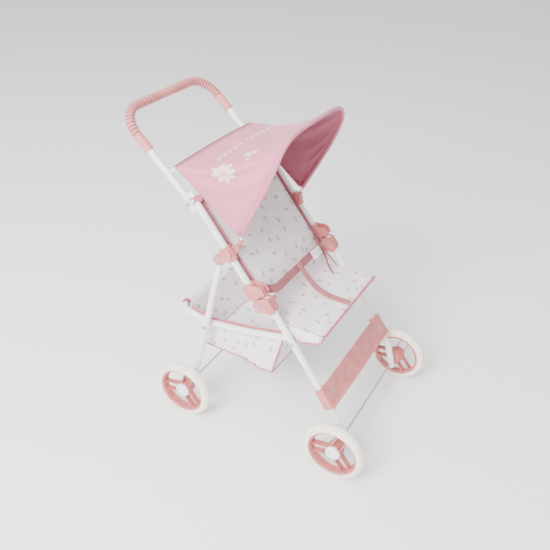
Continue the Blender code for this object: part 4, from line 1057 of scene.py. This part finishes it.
    # painted shade: the rear hem takes the shade-darkened binding colour
    swept("canopy_rear_hem", resampled(bar_line(bend, 1 * MM)[1], 4 * MM), (2.9 * MM, 2.7 * MM), SHADED_BINDING,
          "back_frame", (), 14)
    for side_name, side in SIDES.items():
        edge = side_line if side < 0 else mirror[::-1]
        hem = swept(f"canopy_side_hem_{side_name}", resampled(edge, 3 * MM), (1.3 * MM, 1.0 * MM), HEM_CLOTH,
                    None, (), 10)
        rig.blend(hem, "back_frame", "canopy_hoop", bar[18], hoop[len(hoop) // 2])
        tie_tab(side_name, side, walk(side_line, 0.56))
    return sheet


def tie_tab(side_name, side, hem):
    """Short tab with a snap that holds the side hem to the back tube at the lap."""
    tube = KNEE + UP_BACK * 170 * MM
    path = through([at_x(side * 97 * MM, hem), at_x(side * TUBE_X, tube + OUT_BACK * 5.8 * MM),
                    at_x(side * 106.2 * MM, tube + OUT_BACK * 1.5 * MM),
                    at_x(side * 106.2 * MM, tube - OUT_BACK * 3 * MM)], 6)
    strap(f"tie_tab_{side_name}", path, UP_BACK, 9 * MM, BINDING, "back_frame", thick=0.9 * MM)
    snap = [(0, 107.8), (1.8, 107.6), (2.6, 106.9), (2.6, 106.3), (0, 106.3)]
    turned(f"tie_snap_{side_name}", [(r * MM, h * MM) for r, h in snap], tube, side, BUCKLE,
           "back_frame", (), 20, 40, loop=False)


def apply_modifiers(obj):
    bpy.context.view_layer.update()
    mesh = bpy.data.meshes.new_from_object(obj.evaluated_get(bpy.context.evaluated_depsgraph_get()))
    obj.modifiers.clear()
    obj.data = mesh
    mesh.shade_smooth()


def cloth_area(mesh):
    return sum(face.area for face in mesh.polygons)


# ------------------------------------------------------------------ seat
def padded_panel(name, point, nu, nv, half_t, mat, body, stands_for, fill, pressure, cap, quilt=None):
    """A sewn pad: two faces joined along their edges, puffed by cloth simulation.
    point(u, v) gives a place on its middle surface, for u and v from 0 to 1."""
    bm = bmesh.new()
    bm.loops.layers.uv.new("cloth")
    sides = []
    for face_side in (1, -1):
        grid = []
        for i in range(nv + 1):
            row = []
            for j in range(nu + 1):
                u, v = j / nu, i / nv
                p = point(u, v)
                du = point(min(1, u + 0.01), v) - point(max(0, u - 0.01), v)
                dv = point(u, min(1, v + 0.01)) - point(u, max(0, v - 0.01))
                out = du.cross(dv).normalized()
                edge = min(u, 1 - u) * nu, min(v, 1 - v) * nv
                rise = half_t * min(1, (min(edge) / 2.0)) ** 0.5 if min(edge) > 0 else 0
                row.append(bm.verts.new(p + out * face_side * rise))
            grid.append(row)
        sides.append(grid)
        for i in range(nv):
            for j in range(nu):
                corners = [grid[i][j], grid[i][j + 1], grid[i + 1][j + 1], grid[i + 1][j]]
                bm.faces.new(corners if face_side > 0 else corners[::-1])
    bmesh.ops.remove_doubles(bm, verts=bm.verts, dist=1e-6)
    mesh = bpy.data.meshes.new(name)
    bm.to_mesh(mesh)
    bm.free()
    edge_ids = [v.index for v in mesh.vertices if any(
        abs(v.co.x - x) < 0.4 * MM for x in (point(0, 0.5).x, point(1, 0.5).x))]
    ends = [point(0.5, 0), point(0.5, 1)]
    for v in mesh.vertices:
        if min(hypot(v.co.y - e.y, v.co.z - e.z) for e in ends) < 0.5 * MM:
            edge_ids.append(v.index)
    if quilt:
        edge_ids += [v.index for v in mesh.vertices if quilt(v.co)]
    mesh = simulate(mesh, sorted(set(edge_ids)), 16, pressure=pressure, cap=cap, stiffness=8)
    obj = piece(name, mesh, mat, body, stands_for, 180)
    step = obj.modifiers.new("finer", "SUBSURF")
    step.levels = 1
    step.render_levels = 1
    apply_modifiers(obj)
    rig.padded(obj, fill)
    return obj


BACK_LOW, BACK_HIGH = 5 * MM, 166 * MM


def seat():
    def back_point(u, v):
        s = BACK_LOW + (BACK_HIGH - BACK_LOW) * v
        dip = 4.5 * MM * (1 - (2 * u - 1) ** 2) * (0.35 + 0.65 * sin(pi * min(1, v * 1.1)))
        p = KNEE + UP_BACK * s - OUT_BACK * dip
        wave = noise.noise(Vector((u * 5, v * 4, 3.1))) * 0.9 * MM
        return at_x((2 * u - 1) * 91 * MM, p + OUT_BACK * wave)

    back = padded_panel("seat_back_pad", back_point, 46, 40, 1.3 * MM, COTTON, "back_frame", ("seat_back",),
                        0.35, 2.5, 2.2 * MM)
    flat_map(back, lambda co: (co.x, (co - KNEE).dot(UP_BACK)))
    z = 208.3 * MM
    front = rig.box("seat_panel")[0].y
    profile = through([Vector((0, KNEE.y - 1 * MM, KNEE.z - 2.5 * MM)),
                       Vector((0, KNEE.y - 6.5 * MM, z + 14 * MM)),
                       Vector((0, KNEE.y - 15 * MM, z + 2.0 * MM)),
                       Vector((0, KNEE.y - 36 * MM, z)), Vector((0, front + 22 * MM, z)),
                       Vector((0, front, z - 0.5 * MM))], 10)
    profile = resampled(profile, 1 * MM)
    marks = arc_lengths(profile)

    def seat_point(u, v):
        target = v * marks[-1]
        i = min(len(profile) - 2, int(v * (len(profile) - 1)))
        p = profile[i].lerp(profile[i + 1], (target - marks[i]) / (marks[i + 1] - marks[i]))
        dip = 3.5 * MM * (1 - (2 * u - 1) ** 2) * sin(pi * min(1, max(0, v * 1.05)))
        wave = noise.noise(Vector((u * 4 + 7, v * 5, 1.7))) * 1.0 * MM
        corner = max(0.0, v - 0.93) / 0.07
        width = 91 * MM * (1 - 0.03 * corner ** 2)
        return Vector(((2 * u - 1) * width, p.y, p.z - dip + wave * sin(pi * v)))

    bottom = padded_panel("seat_bottom_pad", seat_point, 46, 30, 1.3 * MM, COTTON, "front_frame",
                          ("seat_panel",), 0.35, 2.5, 2.2 * MM)
    flat_map(bottom, lambda co: (co.x, co.y * 1.02 + co.z * 0.6))

    for side_name, side in SIDES.items():
        u = 0 if side < 0 else 1
        edge = [back_point(u, k / 30) for k in range(31)]
        # painted shade: the back's side bindings take the shade-darkened binding colour
        swept(f"back_binding_{side_name}", edge, (1.5 * MM, 4.4 * MM), SHADED_BINDING, "back_frame", (), 16,
              flat=OUT_BACK)
        edge = [seat_point(u, k / 40) for k in range(41)]
        skirt(side_name, side, edge)
    edge = [seat_point(k / 40, 1) for k in range(41)]
    swept("seat_front_binding", edge, (2.4 * MM, 2.0 * MM), BINDING, "front_frame", (), 14)
    edge = [back_point(k / 40, 1) for k in range(41)]
    swept("back_top_binding", edge, (2.2 * MM, 1.5 * MM), BINDING, "back_frame", (), 14)
    return seat_point


def skirt(side_name, side, edge):
    """The seat cloth's side, which hangs outside the wire bow down to a bound edge."""
    x = side * 92.6 * MM
    hang = [at_x(x, Vector((0, y * MM, z * MM))) for y, z in
            ((-27, 231), (-52, 209), (-76, 189), (-96, 190), (-112, 196), (-117, 206), (-117.5, 208))]
    hang = resampled(through(hang, 8), 2.2 * MM)
    upper = [at_x(side * 91.6 * MM, walk(edge, k / (len(hang) - 1))) for k in range(len(hang))]
    rows, uv = [], []
    for i in range(7):
        row, flat = [], []
        for a, b in zip(upper, hang):
            p = a.lerp(b, i / 6)
            p.x += side * (1.2 * sin(pi * i / 6) + 0.7 * noise.noise(p * 70)) * MM
            row.append(p)
            flat.append((p.y, p.z))
        rows.append(row)
        uv.append(flat)
    cloth = piece(f"seat_side_{side_name}", grid_mesh(f"seat_side_{side_name}", rows, uv), COTTON, None, (), 180)
    step = cloth.modifiers.new("thickness", "SOLIDIFY")
    step.thickness = 0.8 * MM
    step.offset = 0
    apply_modifiers(cloth)
    area = cloth_area(cloth.data) / 2
    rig.ride(cloth, "front_frame")
    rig.sheet(cloth, flat=(0.115, round(area / 0.115 * 1.05, 4)), area=round(area, 6), held="stretched")
    swept(f"seat_binding_{side_name}", hang, (2.2 * MM, 1.5 * MM), BINDING, "front_frame", (), 14)


def strap(name, points, across, width, mat, body, stands_for=(), thick=1.1 * MM):
    """Flat webbing with rounded selvedges along a line."""
    return swept(name, points, (thick / 2, width / 2), mat, body, stands_for, 20, flat=across, round_ends=0.5)


def harness(seat_point):
    belt_mid = Vector((0, KNEE.y - 9.5 * MM, KNEE.z + 9.5 * MM)) + UP_BACK * 2.5 * MM
    end = KNEE + UP_BACK * 16 * MM + OUT_BACK * 3 * MM
    half = 88 * MM
    path = rounded([at_x(-half, end), at_x(-half + 18 * MM, belt_mid), at_x(half - 18 * MM, belt_mid),
                    at_x(half, end)], 20 * MM, 8)
    for p in path:
        p.z -= 1.5 * MM * cos(p.x / (0.09) * pi / 2)
    # painted shade: the lap strap takes the shade-darkened webbing colour
    strap("lap_strap", resampled(path, 3 * MM), UP_BACK, 12.5 * MM, SHADED_STRAP, "front_frame", ("lap_belt",))
    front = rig.box("seat_panel")[0].y
    down = [Vector((0, front + 3 * MM, 212 * MM)), Vector((0, front + 20 * MM, 211.5 * MM)),
            Vector((0, front + 38 * MM, 213 * MM)), Vector((0, front + 58 * MM, 220 * MM))]
    top = belt_mid + OUT_BACK * 2.0 * MM
    path = through(down + [top - UP_BACK * 9 * MM, top + UP_BACK * 6 * MM], 6)
    # the crotch strap takes the same webbing in its lit colour
    strap("crotch_webbing", path, Vector((1, 0, 0)), 12.5 * MM, LIT_STRAP, "front_frame", ("crotch_strap",))
    spot = middle("buckle")
    bm = bmesh.new()
    bmesh.ops.create_grid(bm, x_segments=10, y_segments=6, size=0.5)
    bmesh.ops.scale(bm, vec=(25 * MM, 14.5 * MM, 1), verts=bm.verts)
    for v in bm.verts:
        v.co.z = 1.1 * MM * (1 - (v.co.x / (12.5 * MM)) ** 4) + (0.5 * MM if abs(v.co.x) < 5 * MM else 0)
    obj = piece("buckle_body", mesh_of("buckle_body", bm), BUCKLE, "front_frame", ("buckle",), 60)
    step = obj.modifiers.new("thickness", "SOLIDIFY")
    step.thickness = 3.0 * MM
    step.offset = -0.4
    edge = obj.modifiers.new("edge", "BEVEL")
    edge.width = 0.7 * MM
    edge.segments = 3
    edge.limit_method = "ANGLE"
    obj.matrix_world = Matrix.Translation(spot) @ Matrix.Rotation(BACK_TILT, 4, "X")
    apply_modifiers(obj)
    for tag, shift in (("upper", 4.2), ("lower", -4.2)):
        path = [spot + Vector((k * 3.2 * MM - 6.4 * MM, 0, 0)) + UP_BACK * shift * MM + OUT_BACK * 2.0 * MM
                for k in range(5)]
        swept(f"buckle_prong_{tag}", path, (0.8 * MM, 0.9 * MM), BUCKLE, "front_frame", (), 10)
    tail = [at_x(half - 4 * MM, end + OUT_BACK * 1.8 * MM), Vector((80 * MM, KNEE.y - 14 * MM, 228 * MM)),
            Vector((68 * MM, KNEE.y - 28 * MM, 216 * MM)), Vector((60 * MM, KNEE.y - 40 * MM, 211.5 * MM))]
    path = through(tail, 6)
    whole = arc_lengths(path)[-1]
    # painted shade: the belt tail takes the shade-darkened binding colour
    swept("belt_tail", path, lambda s: (0.55 * MM, (2.6 - 1.5 * s / whole) * MM), SHADED_BINDING, "front_frame", (), 14,
          flat=Vector((0.5, -0.5, 0.4)), round_ends=0.5)


# ------------------------------------------------------------------ basket
def basket():
    """Cotton pouch: side, front and floor panels in one sagging shell, bound at its edges."""
    skin = 6.2 * MM
    half = BASKET_HALF - skin
    stay = pivot_stay()
    mid = (BRACE + stay) / 2 - Vector((0, 0, 3 * MM))
    front_top = BRACE.lerp(mid, 0.3)
    rear = stay + BASKET_REACH - Vector((0, skin, 0))
    floor_z = stay.z - 54 * MM
    lift = Vector((0, 0, 3 * MM))
    side_rim = through([at_x(half, front_top) + lift, at_x(half, mid) + lift, at_x(half, stay) + lift], 12)
    back_rim = rounded([at_x(half, stay) + lift, at_x(half, rear) + lift, at_x(0, rear) + lift], 12 * MM, 8)[1:]
    left = side_rim + back_rim[:-1]
    left = resampled(left, 4 * MM)
    front_row = [at_x(half - 2 * half * k / 40, front_top + lift) for k in range(1, 40)]
    tail = [at_x(left[-1].x - 2 * left[-1].x * k / 40, left[-1]) for k in range(1, 40)]
    right = [Vector((-p.x, p.y, p.z)) for p in left[::-1]]
    loop = left + tail + right + [Vector((-p.x, p.y, p.z)) for p in front_row]
    first, last = front_top.y, rear.y
    low_first, low_last = first + 21 * MM, stay.y + 20 * MM
    rings, uv_rows = [], []
    depth = 16
    for k in range(depth + 1):
        mix = k / depth
        ring, flat = [], []
        walked = 0.0
        for i, top in enumerate(loop):
            share = (top.y - first) / (last - first)
            low = Vector((top.x * 0.95, low_first + (low_last - low_first) * share, floor_z))
            wavy = 2.4 * MM * noise.noise(Vector((top.y * 45, top.x * 30, 0.5)))
            low.z += float(np.interp(share, (0, 0.2, 0.42, 0.6, 1), (-8, -7, 0, 1, 3))) * MM + wavy
            p = top.lerp(low, mix)
            inward = Vector((-top.x, 0, 0)).normalized() if abs(top.x) > 1 * MM else Vector((0, 0, 0))
            slack = sin(pi * mix) * (2.2 + 1.8 * noise.noise(Vector((top.y * 38, top.x * 38, mix * 2.2)))) * MM
            p += inward * slack * 0.6
            if i:
                walked += (top - loop[i - 1]).length
            ring.append(p)
            flat.append((walked, mix * 0.062))
        rings.append(ring)
        uv_rows.append(flat)
    bm = bmesh.new()
    layer = bm.loops.layers.uv.new("cloth")
    grid = [[bm.verts.new(p) for p in ring] for ring in rings]
    count = len(loop)
    for k in range(depth):
        for i in range(count):
            j = (i + 1) % count
            face = bm.faces.new([grid[k][i], grid[k][j], grid[k + 1][j], grid[k + 1][i]])
            ends = ((k, i), (k, j), (k + 1, j), (k + 1, i))
            for corner, (a, b) in zip(face.loops, ends):
                u, v = uv_rows[a][b]
                corner[layer].uv = (u if not (j == 0 and b == 0) else uv_rows[a][-1][0] + 0.004, v)
    centre_y = sum(p.y for p in rings[-1]) / count
    rows = [grid[-1]]
    for shrink in (0.85, 0.65, 0.42, 0.2):
        row = []
        for vert in grid[-1]:
            p = Vector((vert.co.x * shrink, centre_y + (vert.co.y - centre_y) * shrink, vert.co.z))
            p.z += (-3.0 * (1 - shrink) + 1.2 * noise.noise(p * 30)) * MM
            row.append(bm.verts.new(p))
        rows.append(row)
    for a, b in zip(rows, rows[1:]):
        for i in range(count):
            j = (i + 1) % count
            face = bm.faces.new([a[i], a[j], b[j], b[i]])
            for corner in face.loops:
                corner[layer].uv = (corner.vert.co.x, corner.vert.co.y)
    hub = bm.verts.new((0, centre_y, sum(v.co.z for v in rows[-1]) / count))
    for i in range(count):
        j = (i + 1) % count
        face = bm.faces.new([rows[-1][i], rows[-1][j], hub])
        for corner in face.loops:
            corner[layer].uv = (corner.vert.co.x, corner.vert.co.y)
    mesh = mesh_of("basket_pouch", bm)
    pouch = piece("basket_pouch", mesh, COTTON, None, ("basket",), 180)
    step = pouch.modifiers.new("thickness", "SOLIDIFY")
    step.thickness = 0.8 * MM
    step.offset = 0
    apply_modifiers(pouch)
    area = cloth_area(pouch.data) / 2
    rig.ride(pouch, "basket_frame")
    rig.sheet(pouch, flat=(0.29, round(max(0.26, area / 0.29 * 1.02), 3)), area=round(area, 5), held="hung",
             rests_on=["basket_frame"])
    # as the frame folds, the soft pouch is pressed flat against the footrest, towards its rim
    rim_run = (rear - front_top).normalized()
    down = Vector((0, rim_run.z, -rim_run.y))
    pressed = [pouch]
    # binding round the rim, down the front corners and along the floor's edges
    rim = rings[0]
    ends = [i for i, p in enumerate(rim) if p.y > stay.y + 34 * MM]
    first_end, last_end = min(ends), max(ends)
    swept("basket_rim_binding", rim[last_end:] + rim[:first_end + 1], (1.5 * MM, 3.0 * MM), BINDING,
          "basket_frame", (), 14, flat=Vector((0, 0, 1)))
    for side_name, index in (("left", 0), ("right", 2 * len(left) + 38)):
        pressed.append(swept(f"basket_corner_binding_{side_name}", [ring[index % count] for ring in rings],
                             (1.6 * MM, 1.1 * MM), BINDING, "basket_frame", (), 10))
    pressed.append(swept("basket_floor_binding", rings[-1], (1.5 * MM, 1.2 * MM), BINDING, "basket_frame", (),
                         10, closed=True))
    for soft in pressed:
        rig.squash(soft, "brace", down, front_top + down * 4 * MM, keep=0.6)
    hem_path = [at_x(x * MM, rear + Vector((0, skin, 0))) for x in range(-75, 76, 3)]
    roll = swept("basket_rear_hem", hem_path, lambda s: 6.5 * MM + 0.5 * MM * noise.noise(Vector((s * 90, 0, 0))),
                 COTTON, "basket_frame", (), 28, round_ends=0.1)
    flat_map(roll, lambda co: (co.x, co.z + co.y))
    for side_name, side in SIDES.items():
        end = [at_x(side * x * MM, rear + Vector((0, skin, 0))) for x in (73.5, 75, 76.5)]
        # painted shade: the hem's ends take the shade-darkened binding colour
        swept(f"basket_hem_edge_{side_name}", end, 7.3 * MM, SHADED_BINDING, "basket_frame", (), 28)
    return pouch


# ------------------------------------------------------------------ wheels
def wheel(tag, centre, side, body):
    out = 137.5 * MM
    width = 15 * MM
    bore = 37.8 * MM
    reach = WHEEL_R - bore
    mid = out - width / 2
    arc = [(bore + reach * sin(pi * i / 24) ** 0.55, mid + width / 2 * cos(pi * i / 24))
           for i in range(25)]
    turned(f"tyre_{tag}_foam", arc, centre, side, TYRE, body, (f"tyre_{tag}",), 96, 60)
    rim_out, rim_in, radius = out - 1.5 * MM, out - width + 1.5 * MM, 37.5 * MM
    wall = [(radius, rim_in), (radius, rim_out - 0.6 * MM), (radius - 0.6 * MM, rim_out),
            (radius - 2.0 * MM, rim_out), (radius - 2.8 * MM, rim_out - 0.8 * MM),
            (radius - 3.2 * MM, rim_out - 4 * MM), (radius - 4.2 * MM, rim_in + 0.5 * MM),
            (radius - 3.6 * MM, rim_in)]
    turned(f"rim_{tag}_ring", wall, centre, side, PINK_DARK, body, (f"rim_{tag}",), 96, 40)
    hub = [(12.5 * MM, 121.5 * MM), (12.5 * MM, 132.9 * MM), (11.9 * MM, 133.5 * MM), (1.8 * MM, 133.5 * MM),
           (1.8 * MM, 110 * MM), (9.4 * MM, 110 * MM), (10 * MM, 110.6 * MM)]
    turned(f"rim_{tag}_hub", hub, centre, side, PINK_DARK, body, (), 64, 40)
    for i in range(3):
        for half in (-1, 1):
            bm = bmesh.new()
            bmesh.ops.create_cube(bm, size=1)
            inner, outer = 9.5 * MM, radius - 2.2 * MM
            bmesh.ops.scale(bm, vec=(9 * MM, 2.2 * MM, outer - inner), verts=bm.verts)
            bmesh.ops.bevel(bm, geom=bm.edges[:], offset=0.5 * MM, segments=2, affect="EDGES")
            rib = piece(f"rim_{tag}_rib_{i}{'ab'[half > 0]}", mesh_of("rib", bm), PINK_DARK, None, (), 50)
            shift = Matrix.Translation((0, half * 7 * MM, (inner + outer) / 2))
            rib.matrix_world = (Matrix.Translation((side * 128 * MM, centre.y, centre.z))
                                @ Matrix.Rotation(2 * pi * i / 3 + radians(20), 4, "X") @ shift)
            rib.data.transform(rib.matrix_world)
            rib.matrix_world = Matrix.Identity(4)
            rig.ride(rib, body)
    base = 133.8 * MM
    dome = [(11.5 * MM, base), (11.5 * MM, base + 0.8 * MM)]
    dome += [(11.5 * MM * cos(t * pi / 20) ** 0.8, base + 0.8 * MM + 3.7 * MM * sin(t * pi / 20))
             for t in range(1, 10)] + [(0, base + 4.5 * MM)]
    dome += [(0, base + 1 * MM), (1.8 * MM, base)]
    turned(f"hub_cap_{tag}_dome", dome, centre, side, CAP, body, (f"hub_cap_{tag}",), 64, 50, loop=True)


# ------------------------------------------------------------------ fittings
def rivets():
    groups = (("knee_rivet", "front_frame"), ("brace_rivet", "front_frame"), ("hip_rivet", "back_frame"),
              ("lap_rivet_back", "back_frame"), ("lap_rivet_handle", "back_frame"), ("stay_rivet", "rear_frame"))
    for stem, body in groups:
        for side_name, side in SIDES.items():
            low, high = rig.box(f"{stem}_{side_name}")
            inner, outer = sorted((abs(low.x), abs(high.x)))
            centre = (low + high) / 2
            head, shank, rise = 3.2 * MM, 1.5 * MM, 1.2 * MM
            profile = [(0, outer)]
            profile += [(head * sin(t * pi / 12), outer - rise * (1 - cos(t * pi / 12))) for t in range(1, 7)]
            profile += [(shank, outer - rise), (shank, inner + rise * 0.7), (head, inner + rise * 0.7),
                        (head * 0.9, inner + 0.3 * MM), (0, inner)]
            turned(f"{stem}_{side_name}_dome", profile, centre, side, STEEL, body,
                   (f"{stem}_{side_name}",), 24, 40, loop=False)


def screws():
    for side_name in SIDES:
        node = f"footrest_screw_{side_name}"
        spot = middle(node)
        bm = bmesh.new()
        rings = []
        for radius, rise in ((2.6, -0.6), (2.6, -0.1), (2.3, 0.35), (1.6, 0.6), (0.9, 0.65)):
            rings.append([bm.verts.new((radius * cos(2 * pi * k / 24) * MM, radius * sin(2 * pi * k / 24) * MM,
                                        rise * MM)) for k in range(24)])
        inner = [bm.verts.new(((0.9 if k % 6 == 0 else 0.32) * cos(2 * pi * k / 24) * MM,
                               (0.9 if k % 6 == 0 else 0.32) * sin(2 * pi * k / 24) * MM, -0.1 * MM))
                 for k in range(24)]
        rings.append(inner)
        for a, b in zip(rings, rings[1:]):
            for k in range(24):
                j = (k + 1) % 24
                bm.faces.new([a[k], a[j], b[j], b[k]])
        bm.faces.new(rings[0][::-1])
        bm.faces.new(inner)
        head = piece(node + "_head", mesh_of(node, bm), STEEL, None, (node,), 40)
        head.data.transform(Matrix.Translation(spot) @ Vector((0, 0, 1)).rotation_difference(OUT_LEG)
                            .to_matrix().to_4x4())
        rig.ride(head, "front_frame")


def mouldings():
    for side_name in SIDES:
        softened(f"knee_socket_{side_name}", PINK, 0.5 * MM, 3)
        softened(f"lock_slider_{side_name}", PINK, 0.5 * MM, 8)
        softened(f"hinge_bracket_{side_name}", PINK, 0.5 * MM, 3)
        softened(f"hoop_socket_{side_name}", PINK, 0.35 * MM, 2)
        softened(f"lap_plate_{side_name}", STEEL, 0.3 * MM, 2)
    softened("footrest", PINK, 0.8 * MM, 2)


# ------------------------------------------------------------------ everything
CANOPY = canopy_cloth("dusty_pink_canopy_cloth", "#D8839A", "#CC7590", BLOSSOMS)
# painted shade: the canopy's own pink darkened for its shaded underside
SHADED_LINING = canopy_cloth("canopy_underside_painted_shade", "#A45A6B", "#964E60", ())
HEM_CLOTH = canopy_cloth("dusty_pink_hem_cloth", "#CF7F92", "#BE6C80", ())
SLOT_OF.update({CANOPY: "pink_cloth", SHADED_LINING: "pink_cloth", HEM_CLOTH: "pink_cloth"})

camera()
studio()
canopy(frame_tubes())
harness(seat())
basket()
for axle_name, axle_centre in (("front", FRONT_AXLE), ("rear", REAR_AXLE)):
    for wheel_side, wheel_sign in SIDES.items():
        wheel(f"{axle_name}_{wheel_side}", axle_centre, wheel_sign, f"wheel_{axle_name}_{wheel_side}")
rivets()
screws()
mouldings()

with open("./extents.json", "w") as out_file:
    json.dump({"cad": [list(map(float, corner)) for corner in cad_box],
               "visual": [list(map(float, corner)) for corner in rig.bounds()]}, out_file)
